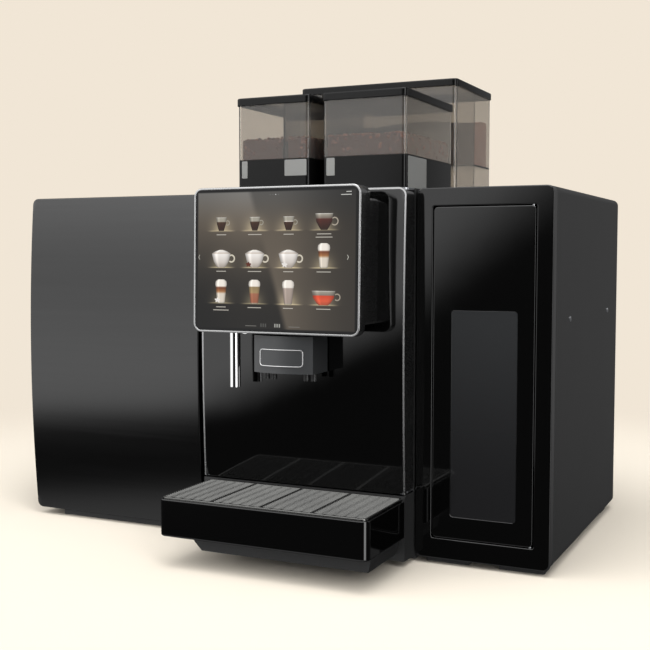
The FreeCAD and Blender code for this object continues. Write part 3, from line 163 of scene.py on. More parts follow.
world = bpy.data.worlds.new("studio")
world.use_nodes = True
bpy.context.scene.world = world
start = Value(world.node_tree)
direction = start.node("ShaderNodeTexCoord", output="Generated")
dx, dy, dz = [start.node("ShaderNodeSeparateXYZ", {}, {0: direction}, axis) for axis in "XYZ"]
degree = math.degrees(1.0)
# angle to the left of straight ahead, and angle above the horizon, both in degrees
left = start.math("ARCTAN2", -1.0 * dx, -1.0 * dy) * degree
up = start.math("ARCSINE", dz) * degree
slant = (up + 0.83 * left).step(12.5, 18.5)
level = up.step(-12.5, -9.8)
far_left = 1.0 - left.step(75.0, 110.0)
rise = 0.92 + 0.85 * up.step(3.5, 18.0) + 0.15 * (1.0 - up.step(-6.0, 3.0))
big = BIG_LIGHT * slant * level * far_left * rise
aside, right = start.math("ABSOLUTE", left), -1.0 * left
near_floor = FLOOR_GLOW * (1.0 - up.step(-21.5, -18.5)) * (1.0 - aside.step(70.0, 100.0))
side = SIDE_LIGHT * right.step(38.0, 46.0) * (1.0 - right.step(62.0, 72.0)) * up.step(-30.0, -12.0)
behind = 0.16 * aside.step(120.0, 150.0) * up.step(-25.0, -5.0)
overhead = 0.9 * up.step(55.0, 80.0)
room = DARK_ROOM + big + near_floor + side + behind + overhead
rays = ("Is Camera Ray", "Is Transmission Ray")
seen = start.math("MAXIMUM", *[start.node("ShaderNodeLightPath", output=name) for name in rays])
shade = seen.colour(start.node("ShaderNodeCombineColor", {}, {0: room, 1: room, 2: room}), BACKDROP)
world.node_tree.links.new(shade.socket, world.node_tree.nodes["Background"].inputs["Color"])
print("world nodes:", len(world.node_tree.nodes))

# %% Floor and lamps
FLOOR_SIZE = 30.0


def lamp(name, place, target, size, power):
    """A soft rectangular lamp at a place, aimed at a target."""
    light = bpy.data.lights.new(name, "AREA")
    light.shape, light.size, light.size_y, light.energy = "RECTANGLE", *size, power
    made = bpy.data.objects.new(name, light)
    made.location = place
    aim = Vector(target) - Vector(place)
    made.rotation_euler = aim.to_track_quat("-Z", "Y").to_euler()
    bpy.context.scene.collection.objects.link(made)


lamp("top_lamp", (0.3, -0.2, 2.6), (0.0, 0.0, 0.6), (1.6, 1.2), 24.0)
lamp("right_lamp", (2.6, 0.9, 1.3), (0.3, 0.1, 0.4), (1.0, 1.4), 9.0)

floor_mesh = bpy.data.meshes.new("floor")
reach = FLOOR_SIZE / 2
corners = [(-reach, -reach, 0), (reach, -reach, 0), (reach, reach, 0), (-reach, reach, 0)]
floor_mesh.from_pydata(corners, [], [(0, 1, 2, 3)])
floor = bpy.data.objects.new("floor", floor_mesh)
bpy.context.scene.collection.objects.link(floor)
paper = bpy.data.materials.new("floor_paper")
paper.use_nodes = True
paper.node_tree.nodes.clear()
start = Value(paper.node_tree)
here = start.node("ShaderNodeTexCoord", output="Object")
away = start.node("ShaderNodeVectorMath", {"operation": "LENGTH"}, {0: here}, "Value").step(0.75, 1.6)
matte = start.node("ShaderNodeBsdfDiffuse", {}, {"Color": rgb(208, 200, 187)})
glow = start.node("ShaderNodeEmission", {}, {"Color": BACKDROP, "Strength": 1.0})
both = start.node("ShaderNodeMixShader", {}, {0: away, 1: matte, 2: glow})
start.node("ShaderNodeOutputMaterial", {}, {"Surface": both})
floor_mesh.materials.append(paper)
floor.visible_glossy = False
floor.visible_diffuse = False
print("floor of", FLOOR_SIZE, "m")

# %% [markdown]
# ## Finishes
# Each slot of the record gets one finish: a Principled shader whose constants sit on its own sockets,
# and a small paint function for what changes over the surface. Patterns read Object coordinates in
# metres, so a grain of a third of a millimetre has a scale of about three thousand.


# %% Helpers for finishes
FINISHES = {}


def finish(name, colour, roughness, metallic=0.0, more=(), paint=None):
    """A Principled finish kept under its name; paint(start) gives the sockets that change over a surface."""
    material = bpy.data.materials.new(name)
    material.use_nodes = True
    tree = material.node_tree
    shader = tree.nodes["Principled BSDF"]
    constants = {"Base Color": colour, "Roughness": roughness, "Metallic": metallic, **dict(more)}
    for key, value in constants.items():
        shader.inputs[key].default_value = value
    for key, value in (paint(Value(tree)) if paint else {}).items():
        tree.links.new(value.socket, shader.inputs[key])
    FINISHES[name] = material


def place_of(start):
    """Object coordinates, in metres."""
    return start.node("ShaderNodeTexCoord", output="Object")


def noise(start, scale, detail=2.0, stretch=(1.0, 1.0, 1.0)):
    """Cloudy noise from 0 to 1, with its cells stretched along an axis where that axis has a small number."""
    where = start.node("ShaderNodeMapping", {}, {0: place_of(start), 3: stretch})
    return start.node("ShaderNodeTexNoise", {}, {"Vector": where, "Scale": scale, "Detail": detail}, 0)


def bump(start, height, distance):
    """A normal from a height that runs from 0 to 1 and stands for a distance in metres."""
    return start.node("ShaderNodeBump", {}, {"Height": height, "Distance": distance, "Strength": 1.0})


print("finish helpers ready")

# %% [markdown]
# ## Black gloss
# The machine's front, the fascia, the lids and the tray are high-gloss black. Real gloss is never
# perfect: faint wipe marks change how sharp it is, and a very long shallow waviness bends reflections.


# %% Gloss finishes
def gloss_paint(start):
    wiped = noise(start, 9.0, 3.0, (1.0, 1.0, 0.35))
    marks = noise(start, 60.0, 4.0)
    return {
        "Roughness": 0.045 + 0.05 * wiped * marks,
        "Normal": bump(start, noise(start, 14.0, 1.0), 0.00006),
    }


finish("black_gloss", rgb(4, 4, 4), 0.06, 0.0, {"IOR": 1.5}, gloss_paint)


def satin_paint(start):
    fine = noise(start, 900.0, 2.0)
    broad = noise(start, 6.0, 2.0)
    return {
        "Base Color": broad.colour(rgb(30, 30, 30), rgb(36, 36, 36)),
        "Roughness": 0.40 + 0.06 * broad + 0.04 * fine,
        "Normal": bump(start, fine, 0.00002),
    }


finish("cabinet_paint", rgb(33, 33, 33), 0.42, 0.0, {"IOR": 1.45}, satin_paint)
print("gloss and satin paint made")

# %% [markdown]
# ## Metals
# The cooler's door is anodised and brushed from side to side: the grain is a noise that is squeezed
# upwards and stretched along X. Trim and castings are blasted, so their grain has no direction.


# %% Metal finishes
def brushed_paint(start):
    grain = noise(start, 1.0, 3.0, (14.0, 900.0, 1900.0))
    streak = noise(start, 1.0, 2.0, (3.0, 120.0, 240.0))
    share = 0.5 * grain + 0.5 * streak
    return {
        "Base Color": share.colour(rgb(61, 61, 61), rgb(70, 70, 70)),
        "Roughness": 0.10 + 0.06 * share,
        "Normal": bump(start, grain, 0.000004),
    }


finish("dark_brushed", rgb(66, 66, 66), 0.13, 1.0, (), brushed_paint)


def metal_paint(dark, light, low, high, size=700.0, depth=0.00001):
    """Paint function of a grainy metal: two colours, two roughnesses, grain size as a scale, and depth."""

    def paint(start):
        grain = noise(start, size, 3.0)
        broad = noise(start, 12.0, 2.0)
        return {
            "Base Color": broad.colour(dark, light),
            "Roughness": low + (high - low) * (0.6 * grain + 0.4 * broad),
            "Normal": bump(start, grain, depth),
        }

    return paint


METALS = {
    "aluminium_trim": (rgb(150, 150, 150), rgb(170, 170, 170), 0.22, 0.32, 900.0, 0.000006),
    "cast_aluminium": (rgb(140, 142, 144), rgb(176, 178, 180), 0.42, 0.62, 420.0, 0.00008),
    "chrome": (rgb(214, 214, 214), rgb(224, 224, 224), 0.03, 0.09, 200.0, 0.000001),
    "steel": (rgb(170, 170, 168), rgb(196, 196, 194), 0.18, 0.34, 800.0, 0.000008),
    "zinc_steel": (rgb(150, 152, 156), rgb(186, 188, 190), 0.28, 0.48, 260.0, 0.00001),
}
for key, sizes in METALS.items():
    finish(key, sizes[1], sizes[3], 1.0, (), metal_paint(*sizes))
print("metals:", ", ".join(METALS))

# %% [markdown]
# ## Moulded parts, rubber, glass and stock
# Moulded plastic has a fine spark-eroded texture. Clear parts are a smoky plastic that light passes
# through twice at each wall, so their tint is kept light.

# %% Plastic, rubber and glass finishes


def moulded_paint(dark, light, low, high, size=1500.0, depth=0.00003):
    """Paint function of a moulded skin, the same way as for metal, but with a deeper and softer texture."""
    return metal_paint(dark, light, low, high, size, depth)


PLASTICS = {
    "black_plastic": (rgb(16, 16, 16), rgb(24, 24, 24), 0.38, 0.56),
    "light_plastic": (rgb(216, 218, 218), rgb(228, 229, 228), 0.32, 0.46),
    "milky_plastic": (rgb(222, 222, 216), rgb(236, 236, 230), 0.24, 0.36),
    "rubber": (rgb(12, 12, 12), rgb(20, 20, 20), 0.62, 0.85),
    "hose": (rgb(206, 208, 208), rgb(222, 222, 220), 0.22, 0.34),
    "board": (rgb(14, 64, 38), rgb(22, 84, 50), 0.30, 0.46),
    "spout_grey": (rgb(48, 49, 50), rgb(56, 57, 58), 0.28, 0.38),
}
for key, sizes in PLASTICS.items():
    finish(key, sizes[1], sizes[3], 0.0, {"IOR": 1.48}, moulded_paint(*sizes))


def clear_paint(start):
    broad = noise(start, 10.0, 2.0)
    return {"Roughness": 0.015 + 0.03 * broad}


CLEAR = {"Transmission Weight": 0.95, "IOR": 1.45}
finish("clear_plastic", rgb(214, 211, 207), 0.03, 0.0, CLEAR, clear_paint)


def smoked_and_shaded_paint(start):
    """Smoked glass with painted shade: it is darker towards its lower end, because less light gets behind it
    there.
    """
    height = start.node("ShaderNodeSeparateXYZ", {}, {"Vector": place_of(start)}, "Z")
    # painted shade: the smoked colour darkens from the top of the pane down to its lower end
    tint = height.step(0.10, 0.42).colour(rgb(26, 26, 27), rgb(44, 45, 46))
    return {"Base Color": tint, **gloss_paint(start)}


finish("smoked_glass", rgb(40, 41, 42), 0.05, 0.0, {"IOR": 1.5}, smoked_and_shaded_paint)
SYRUP = {"Transmission Weight": 0.6, "IOR": 1.4}
finish("syrup", rgb(120, 62, 20), 0.06, 0.0, SYRUP, clear_paint)
print("plastics:", ", ".join(PLASTICS))


# %% Coffee finish
def bean_paint(start):
    """Roasted beans differ from one to the next: each bean carries its own shade as an attribute."""
    shade = start.node("ShaderNodeAttribute", {"attribute_name": "roast"}, {}, "Fac")
    fine = noise(start, 900.0, 3.0)
    return {
        "Base Color": (0.8 * shade + 0.2 * fine).colour(rgb(78, 40, 30), rgb(176, 104, 82)),
        "Roughness": 0.34 + 0.2 * fine,
        "Normal": bump(start, fine, 0.0001),
    }


finish("coffee", rgb(90, 52, 40), 0.45, 0.0, (), bean_paint)
print("finishes:", len(FINISHES))

# %% [markdown]
# ## Surfaces from numbers
# Almost every piece here is a rounded rectangle that a small profile runs round: a lid, a tray, a pane,
# a sheet-metal shell. So three functions make most of the object: an outline, a profile with rounded
# corners, and a skin over a stack of rings. Next to each rounded edge sits one extra ring, which keeps
# the flat face beside it flat in its shading; without it, gloss would show a false bulge.


# %% Outline, profile and skin
CORNER_STEPS = 8
EDGE_STEPS = 4
BESIDE = 0.4 * MM
QUARTER = math.pi / 2


def outline(u, v, radius, side=1):
    """Closed rounded rectangle. Each corner is its centre plus radius * (cos t, sin t) over a quarter
    turn, and a straight run of `side` parts leads to the next corner."""
    r = max(radius, 0.01 * MM)
    t = np.linspace(0.0, QUARTER, CORNER_STEPS) + np.arange(4)[:, None] * QUARTER
    cu = np.array([u[1] - r, u[0] + r, u[0] + r, u[1] - r])[:, None]
    cv = np.array([v[1] - r, v[1] - r, v[0] + r, v[0] + r])[:, None]
    arcs = np.stack([cu + r * np.cos(t), cv + r * np.sin(t)], axis=-1)
    share = (np.arange(1, side) / side)[None, :, None]
    runs = arcs[:, -1:] * (1 - share) + np.roll(arcs[:, :1], -1, axis=0) * share
    return np.concatenate([arcs, runs], axis=1).reshape(-1, 2)


def rounded(corners, radii, closed=False):
    """Polyline whose corners are eased: with a and b the directions to the neighbours, a corner p becomes
    p + a r (1 - sin t) + b r (1 - cos t) over a quarter turn, and one point stands just beside it."""
    corners = np.array(corners, float)
    t = np.linspace(0.0, QUARTER, EDGE_STEPS + 1)[:, None]
    rows = []
    for k, (p, r) in enumerate(zip(corners, radii)):
        if r <= 0 or (not closed and k in (0, len(corners) - 1)):
            rows.append(p[None])
            continue
        a, b = corners[k - 1] - p, corners[(k + 1) % len(corners)] - p
        a, b = a / np.linalg.norm(a), b / np.linalg.norm(b)
        arc = p + a * r * (1 - np.sin(t)) + b * r * (1 - np.cos(t))
        rows += [(p + a * (r + BESIDE))[None], arc, (p + b * (r + BESIDE))[None]]
    return np.concatenate(rows)


def stacked(rings, closed=False):
    """Skin over a stack of rings: point j of one ring, point j + 1, and the same two of the next ring make
    a face. An open stack is capped at both ends; a closed one runs back to its first ring."""
    rings = np.array(rings, float)
    index = np.arange(rings.shape[0] * rings.shape[1]).reshape(rings.shape[:2])
    a = index if closed else index[:-1]
    b = np.roll(index, -1, axis=0) if closed else index[1:]
    quads = np.stack([a, np.roll(a, -1, axis=1), np.roll(b, -1, axis=1), b], axis=-1).reshape(-1, 4)
    caps = [] if closed else [index[0, ::-1].tolist(), index[-1].tolist()]
    return rings.reshape(-1, 3), quads.tolist() + caps


def laid(flat, level, axis):
    """Flat points (u, v) put in space at a level along Z, or along Y with v as the height."""
    level = np.broadcast_to(level, len(flat))
    order = (flat[:, 0], flat[:, 1], level) if axis == "Z" else (flat[:, 0], level, flat[:, 1])
    return np.stack(order, axis=-1)


def ring(u, v, radius, inset, level, axis="Y", side=1):
    """Rounded rectangle shrunk with its corners by an inset, at a level."""
    flat = outline((u[0] + inset, u[1] - inset), (v[0] + inset, v[1] - inset), radius - inset, side)
    return laid(flat, level, axis)


def carried(u, v, radius, profile, axis="Z", closed=False, side=1):
    """Skin of a profile of (inset, level) rows carried round a rounded rectangle."""
    return stacked([ring(u, v, radius, inset, level, axis, side) for inset, level in profile], closed)


def joined(*parts):
    """Several skins as one: the point numbers of each face move up by the points before it."""
    starts = np.cumsum([0] + [len(points) for points, _ in parts])
    faces = [[n + first for n in face] for (_, some), first in zip(parts, starts) for face in some]
    return np.concatenate([points for points, _ in parts]), faces


def quad_faces(n, m, first=0):
    """Faces between the points of an n by m grid, whose first point has the number first."""
    index = np.arange(n * m).reshape(n, m) + first
    quads = [index[:-1, :-1], index[1:, :-1], index[1:, 1:], index[:-1, 1:]]
    return np.stack(quads, axis=-1).reshape(-1, 4).tolist()


def border_of(n, m):
    """Point numbers once round the edge of an n by m grid."""
    index = np.arange(n * m).reshape(n, m)
    return np.r_[index[:, 0], index[-1, 1:], index[-2::-1, -1], index[0, -2:0:-1]]


def hung(points, faces, border, rings):
    """Hangs rings of points from a border, each from the one before, and closes the last with one face."""
    for more in rings:
        fresh = np.arange(len(border)) + len(points)
        sides = np.stack([border, np.roll(border, -1), np.roll(fresh, -1), fresh], axis=-1)
        points, faces, border = np.concatenate([points, more]), faces + sides.tolist(), fresh
    return points, faces + [border[::-1].tolist()]


SHARP = math.radians(32)


def piece(name, skin, slot, body, replaced=(), shades=None, look=None):
    """Puts a skin into a mesh: doubles merged, faces turned outwards, smooth but for edges over 32 degrees.
    It rides on a CAD body, has the finish of its slot or another look, and stands for the replaced nodes."""
    points, faces = skin
    mesh = bpy.data.meshes.new(name)
    mesh.from_pydata(points.tolist(), [], faces)
    for key, values in (shades or {}).items():
        kind = "FLOAT" if np.ndim(values) == 1 else "FLOAT_COLOR"
        layer = mesh.attributes.new(key, kind, "POINT")
        layer.data.foreach_set("value" if kind == "FLOAT" else "color", np.ravel(values).astype(np.float32))
    soup = bmesh.new()
    soup.from_mesh(mesh)
    bmesh.ops.remove_doubles(soup, verts=soup.verts, dist=0.002 * MM)
    bmesh.ops.recalc_face_normals(soup, faces=soup.faces)
    soup.to_mesh(mesh)
    soup.free()
    mesh.shade_smooth()
    mesh.set_sharp_from_angle(angle=SHARP)
    mesh.materials.append(FINISHES[look or slot])
    made = bpy.data.objects.new(name, mesh)
    bpy.context.scene.collection.objects.link(made)
    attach(made, body)
    if replaced:
        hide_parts(*replaced)
    print(f"{name}: {len(mesh.vertices)} points, {len(mesh.polygons)} faces")
    return made


def span(node):
    """The x, y and z pairs of a CAD node's box."""
    low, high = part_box(node)
    return [(low[k], high[k]) for k in range(3)]


print("surface helpers ready")

# %% [markdown]
# ## Bowed doors
# The cooler's door and the machine's front are single panels that swell forward by a few millimetres at
# mid-height, which is what makes the long reflections sweep. The front is a grid: columns across, and
# in each column rows that follow the rounded corners. Its depth is a parabola of height, plus the
# rounding of the edge, which depends only on how far a point is from the outline.


# %% Bowed panel
def edge_stations(size, edge, corner, count):
    """Distances across a side: close together over the rounded edge and the corner, even in between."""
    t = np.linspace(0.0, QUARTER, 9)
    near = np.unique(np.round(np.r_[edge * (1 - np.cos(t[::2])), edge + BESIDE, corner * (1 - np.cos(t))], 7))
    middle = np.linspace(near[-1], size - near[-1], count + 1)[1:-1]
    return np.r_[near, middle, size - near[::-1]]


def bowed_panel(x, z, corner, edge, front, back, notch=None, recess=None):
    """Panel whose face is y = front(z) + edge - sqrt(edge^2 - (edge - d)^2), with d the distance to its
    outline while that is under the edge radius. Its rim runs back to y = back(z).
    notch is (x limit, y start, depth): left of the limit and behind the start, the rim steps in by the
    depth at the top and the bottom, where a hinge plate sits. recess is (x pair, z pair, y floor)."""
    across = edge_stations(x[1] - x[0], edge, corner, 8)
    end = np.clip(corner - np.minimum(across, across[-1] - across), 0.0, corner)
    sink = corner - np.sqrt(corner**2 - end**2)
    low, high = z[0] + sink, z[1] - sink
    near = np.r_[edge * (1 - np.cos(np.linspace(0.0, QUARTER, 6))), edge + BESIDE]
    share = np.linspace(0.0, 1.0, 30)[1:-1]
    rows = [low + d for d in near] + [low + near[-1] + s * (high - low - 2 * near[-1]) for s in share]
    rows += [high - d for d in near[::-1]]
    zz = np.array(rows).T
    xx = np.broadcast_to((x[0] + across)[:, None], zz.shape)
    qx = np.abs(xx - sum(x) / 2) - ((x[1] - x[0]) / 2 - corner)
    qz = np.abs(zz - sum(z) / 2) - ((z[1] - z[0]) / 2 - corner)
    inside = corner - np.hypot(np.maximum(qx, 0), np.maximum(qz, 0)) - np.minimum(np.maximum(qx, qz), 0)
    d = np.clip(edge - inside, 0.0, edge)
    yy = front(zz) + edge - np.sqrt(edge**2 - d**2)
    points, border = np.stack([xx, yy, zz], axis=-1).reshape(-1, 3), border_of(*zz.shape)
    rings, rim = [], points[border].copy()
    if notch:
        limit, begin, depth = notch
        rim[:, 1] = begin
        rings.append(rim.copy())
        rim[:, 2] = np.where(rim[:, 0] < limit, np.clip(rim[:, 2], z[0] + depth, z[1] - depth), rim[:, 2])
        rings.append(rim.copy())
    rim[:, 1] = back(rim[:, 2])
    rings.append(rim)
    if recess:
        wide, tall, deep = recess
        hollow = rim.copy()
        hollow[:, 0], hollow[:, 2] = np.clip(rim[:, 0], *wide), np.clip(rim[:, 2], *tall)
        floor_rim = hollow.copy()
        floor_rim[:, 1] = deep
        rings += [hollow, floor_rim]
    return hung(points, quad_faces(*zz.shape), border, rings)


def bow(y, z, depth):
    """Face y = apex + depth * ((height - middle) / half height)^2 of a panel between two heights."""
    return lambda height: y + depth * ((height - sum(z) / 2) / ((z[1] - z[0]) / 2)) ** 2


door_x, door_y, door_z = span("cooler_door")
liner_x, liner_y, liner_z = span("cooler_door_liner")
HINGE_ROOM = (door_x[0] + 0.017, door_y[0] + 0.020, 0.0045)
FREE = 0.0002
COOLER_BOW, COOLER_CORNER, COOLER_EDGE = 0.013, 0.010, 0.0016
hollow = ((liner_x[0] - FREE, liner_x[1] + FREE), (liner_z[0] - FREE, liner_z[1] + FREE), liner_y[0])
face = bow(door_y[0], door_z, COOLER_BOW)
skin = bowed_panel(door_x, door_z, COOLER_CORNER, COOLER_EDGE, face, lambda z: door_y[1] + 0 * z,
                   HINGE_ROOM, hollow)
piece("cooler_door_panel", skin, "dark_brushed", "cooler_door_leaf", ["cooler_door"])

glass_x, glass_y, glass_z = span("door_glass")
MACHINE_BOW, MACHINE_CORNER, MACHINE_EDGE = 0.006, 0.0095, 0.0006
GLASS_THICK = 0.004
machine_face = bow(glass_y[0], (0.106, 0.546), MACHINE_BOW)
skin = bowed_panel(glass_x, glass_z, MACHINE_CORNER, MACHINE_EDGE, machine_face,
                   lambda z: machine_face(z) + GLASS_THICK)
piece("machine_front_panel", skin, "black_gloss", "machine_door_leaf", ["door_glass"])

# %% [markdown]
# ## Syrup cabinet
# Its fascia is a frame with an inset door, and the door holds a smoked pane one millimetre below its
# face. Frame, door and pane are rings of the same outline at different sizes. The narrow gap between
# frame and door is drawn by the light that catches the two rounded edges.


# %% Syrup cabinet
def framed(outer, inner, levels, edge):
    """Frame skin between two rounded rectangles, each (u, v, corner): a closed run of rings that goes from
    the back of the outer edge over its rounding, across the face, over the inner rounding and back."""
    front, back = levels
    profile = rounded([(0, back), (0, front), (edge * 3, front)], [0, edge, 0])
    over = [ring(*outer, inset, y) for inset, y in profile]
    return stacked(over + [ring(*inner, -inset, y) for inset, y in profile[::-1]], closed=True)


syrup_x, syrup_y, syrup_z = span("syrup_fascia")
leaf_x, leaf_y, leaf_z = span("syrup_door")
pane_x, pane_y, pane_z = span("syrup_window")
GAP = 0.0015
opening = ((leaf_x[0] - GAP, leaf_x[1] + GAP), (leaf_z[0] - GAP, leaf_z[1] + GAP), 0.003)
skin = framed((syrup_x, syrup_z, 0.010), opening, syrup_y, 0.0012)
piece("syrup_front_frame", skin, "black_gloss", "chassis", ["syrup_fascia"])

seat = ((pane_x[0] - FREE, pane_x[1] + FREE), (pane_z[0] - FREE, pane_z[1] + FREE), 0.005)
LEDGE = 0.004
front_rows = rounded([(0, leaf_y[1]), (0, leaf_y[0]), (0.004, leaf_y[0])], [0, 0.0010, 0])
rings = [ring(leaf_x, leaf_z, 0.006, inset, y) for inset, y in front_rows]
seat_rows = ((-0.0012, leaf_y[0]), (-0.0004, leaf_y[0]), (0.0, leaf_y[0] + 0.0004), (0.0, pane_y[1]))
rings += [ring(*seat, inset, y) for inset, y in seat_rows]
rings += [ring(*seat[:2], 2 * LEDGE, LEDGE, y) for y in (pane_y[1], leaf_y[1])]
piece("syrup_door_panel", stacked(rings, closed=True), "black_gloss", "syrup_door_leaf", ["syrup_door"])

pane_rows = rounded([(0, pane_y[1]), (0, pane_y[0]), (0.006, pane_y[0])], [0, 0.0004, 0])
skin = carried(pane_x, pane_z, 0.0048, pane_rows, "Y")
piece("syrup_pane", skin, "smoked_glass", "syrup_door_leaf", ["syrup_window"])


def sheet_shell(node, name, corner, wall, body, slot):
    """Folded sheet box, open at the front: its outline runs from the front rim to the rear, turns over a
    small radius onto the back, and comes forward again one wall inside."""
    x, y, z = span(node)
    rows = [(wall, y[1] - wall), (wall, y[0]), (0, y[0]), (0, y[1]), (0.01, y[1])]
    rows = rounded(rows, [0, 0.0004, 0.0004, 0.0012, 0])
    return piece(name, carried(x, z, corner, rows, "Y"), slot, body, [node])


sheet_shell("syrup_cabinet", "syrup_case", 0.010, 0.002, "chassis", "cabinet_paint")
sheet_shell("cooler_cabinet", "cooler_case", 0.010, 0.002, "chassis", "cabinet_paint")

# %% [markdown]
# ## Display
# The display is a thin wedge in an aluminium frame, leaning back by a little over a degree, on a neck
# that is fixed to the machine's front. It is built upright in its own flat coordinates, then every
# point is turned about the lower front edge with the usual cosine and sine.

# %% Display body
frame_x = span("display_housing")[0]
TILT = math.radians(1.4)
FOOT = np.array([0.0, -0.257, 0.337])
DISPLAY_HIGH = 0.211
THICK_LOW, THICK_TOP = 0.020, 0.035
RIM = 0.003
DISPLAY_CORNER = 0.013


def leaned(points):
    """Turns points about the display's lower front edge: y + z sin, and z cos, for the tilt."""
    out = np.array(points, float) - FOOT
    y, z = out[:, 1].copy(), out[:, 2].copy()
    out[:, 1], out[:, 2] = y * math.cos(TILT) + z * math.sin(TILT), z * math.cos(TILT) - y * math.sin(TILT)
    return out + FOOT


box_z = (FOOT[2], FOOT[2] + DISPLAY_HIGH)
y0 = FOOT[1]
rows = [(RIM, y0 + 0.0035), (RIM, y0), (0, y0), (0, y0 + 0.012)]
points, faces = carried(frame_x, box_z, DISPLAY_CORNER, rounded(rows, [0, 0.0005, 0.0011, 0]), "Y")
rings = []
for inset, shift in ((0.0, -0.002), (0.0006, -0.0006), (0.002, 0.0), (0.008, 0.0)):
    back = ring(frame_x, box_z, DISPLAY_CORNER, inset, y0)
    back[:, 1] += THICK_LOW + (THICK_TOP - THICK_LOW) * (back[:, 2] - box_z[0]) / DISPLAY_HIGH + shift
    rings.append(back)
border = np.arange(len(points) - len(back), len(points))
points, faces = hung(points, faces[:-1], border, rings)
neck = carried((0.011, 0.207), (0.352, 0.530), 0.006, [(0, -0.236), (0, -0.184)], "Y")
body_skin = joined((leaned(points), faces), neck)
piece("display_body", body_skin, "aluminium_trim", "machine_door_leaf", ["display_housing"])

# %% [markdown]
# ## The screen
# The screen shows a menu: twelve drinks on three rows of lit shelves, in front of a warm brown backdrop
# that is lighter on one side of a slanted line, where a reflection is painted into it. No texture file is
# needed. The backdrop is one grid whose points carry a colour worked out from their place, and each drink
# is a small grid of its own: a half width that changes with height, and a colour that changes with height
# and darkens towards the sides.
# The labels are plain bars, so nothing can be read on them.

# %% Backdrop of the menu
PANE_X, PANE_Z = (-0.0558, 0.2058), (0.0032, 0.2078)
SHELVES = (0.148, 0.095, 0.043)
COLUMNS = (-0.012, 0.0435, 0.098, 0.1535)
BLACK_EDGE = 0.0045


def smooth(value, low, high):
    """The smooth step 3 s^2 - 2 s^3 of how far a value is from low to high."""
    s = np.clip((value - low) / (high - low), 0.0, 1.0)
    return s * s * (3 - 2 * s)


def with_alpha(light):
    """Colours with a fourth number, 1, as a colour attribute wants them, in one list."""
    return np.concatenate([light, np.ones(light.shape[:-1] + (1,))], axis=-1).reshape(-1, 4)


def backdrop_colours(x, z):
    """Brown on both sides of a slanted line, lit from the top on its left and lighter on its right by a
    painted reflection, plus a glow over each shelf.
    """
    # painted reflection: to the right of this slanted line the brown backdrop is lighter
    line = 0.033 + 0.30 * (0.211 - z)
    painted_reflection_side = smooth(x - line, -0.006, 0.006)
    left_light = 0.045 + 0.36 * smooth(z, 0.010, 0.215) + 0.05 * smooth(x, -0.05, 0.03)
    painted_reflection_light = 0.36 - 0.17 * smooth(x, 0.07, 0.206) - 0.05 * smooth(z, 0.13, 0.21)
    light = left_light * (1 - painted_reflection_side) + painted_reflection_light * painted_reflection_side
    warm = np.array([1.0, 0.90, 0.78])
    grey = np.array([1.0, 0.98, 0.95])
    tint = warm + (grey - warm) * smooth(z, 0.15, 0.21)[..., None]
    colours = light[..., None] * tint
    for shelf in SHELVES:
        for column in COLUMNS:
            away = ((x - column) / 0.019) ** 2 + (np.maximum(z - shelf, 0) / 0.020) ** 2
            glow = np.exp(-1.6 * away) * (z > shelf) * 0.34
            near = smooth(0.026 - abs(x - column), 0.0, 0.012)
            shelf_edge = np.exp(-(((z - shelf) / 0.0008) ** 2)) * near * 0.30
            colours = colours + (glow + shelf_edge)[..., None] * np.array([1.0, 0.93, 0.72])
    edge = np.minimum.reduce([x - PANE_X[0], PANE_X[1] - x, z - PANE_Z[0], PANE_Z[1] - z])
    return with_alpha(linear(colours * smooth(edge, BLACK_EDGE - 0.0006, BLACK_EDGE)[..., None]))


def on_screen(x, z, proud):
    """Points x and z of the upright pane, put on the leaning one and standing proud of it."""
    upright = np.stack([x, np.full(x.shape, FOOT[1] + 0.0002 - proud), z + FOOT[2]], axis=-1)
    return leaned(upright.reshape(-1, 3))


def screen_paint(start):
    """The colour that the points carry, given off as light."""
    picture = start.node("ShaderNodeAttribute", {"attribute_name": "picture"}, {}, "Color")
    return {"Emission Color": picture, "Roughness": 0.07 + 0.05 * noise(start, 30.0, 3.0)}


SCREEN = {"IOR": 1.5, "Specular IOR Level": 0.22, "Emission Strength": 1.0}
finish("screen_glass", rgb(3, 3, 3), 0.1, 0.0, SCREEN, screen_paint)

face_y = FOOT[1] + 0.0002
pane_rows = rounded([(0, FOOT[1] + 0.0029), (0, face_y), (0.0018, face_y)], [0, 0.0003, 0])
points, faces = carried(PANE_X, (PANE_Z[0] + FOOT[2], PANE_Z[1] + FOOT[2]), 0.0098, pane_rows, "Y")
black = {"picture": with_alpha(np.zeros((len(points), 3)))}
piece("display_pane", (leaned(points), faces), "screen_glass", "machine_door_leaf", ["display_glass"], black)

gx, gz = np.meshgrid(np.linspace(-0.0525, 0.2025, 256), np.linspace(0.0065, 0.2045, 200), indexing="ij")
lit = {"picture": backdrop_colours(gx, gz)}
skin = (on_screen(gx, gz, 0.00005), quad_faces(256, 200))
piece("menu_backdrop", skin, "screen_glass", "machine_door_leaf", (), lit)

# %% Drinks of the menu
GLASS = (0.62, 0.60, 0.55)
COFFEE = (0.17, 0.09, 0.05)
FOAM = (0.93, 0.90, 0.86)
MILK = (0.84, 0.80, 0.74)
LATTE = (0.62, 0.42, 0.25)
CHINA = (0.90, 0.88, 0.86)
drink_points, drink_colours, drink_faces = [], [], []


def add_patch(x, z, colours, proud):
    """Adds a grid of the menu: its points, its colours as light, and its faces."""
    first = sum(map(len, drink_points))
    drink_faces.extend(quad_faces(*x.shape, first))
    drink_points.append(on_screen(x, z, proud))
    drink_colours.append(with_alpha(linear(np.broadcast_to(colours, x.shape + (3,)))))


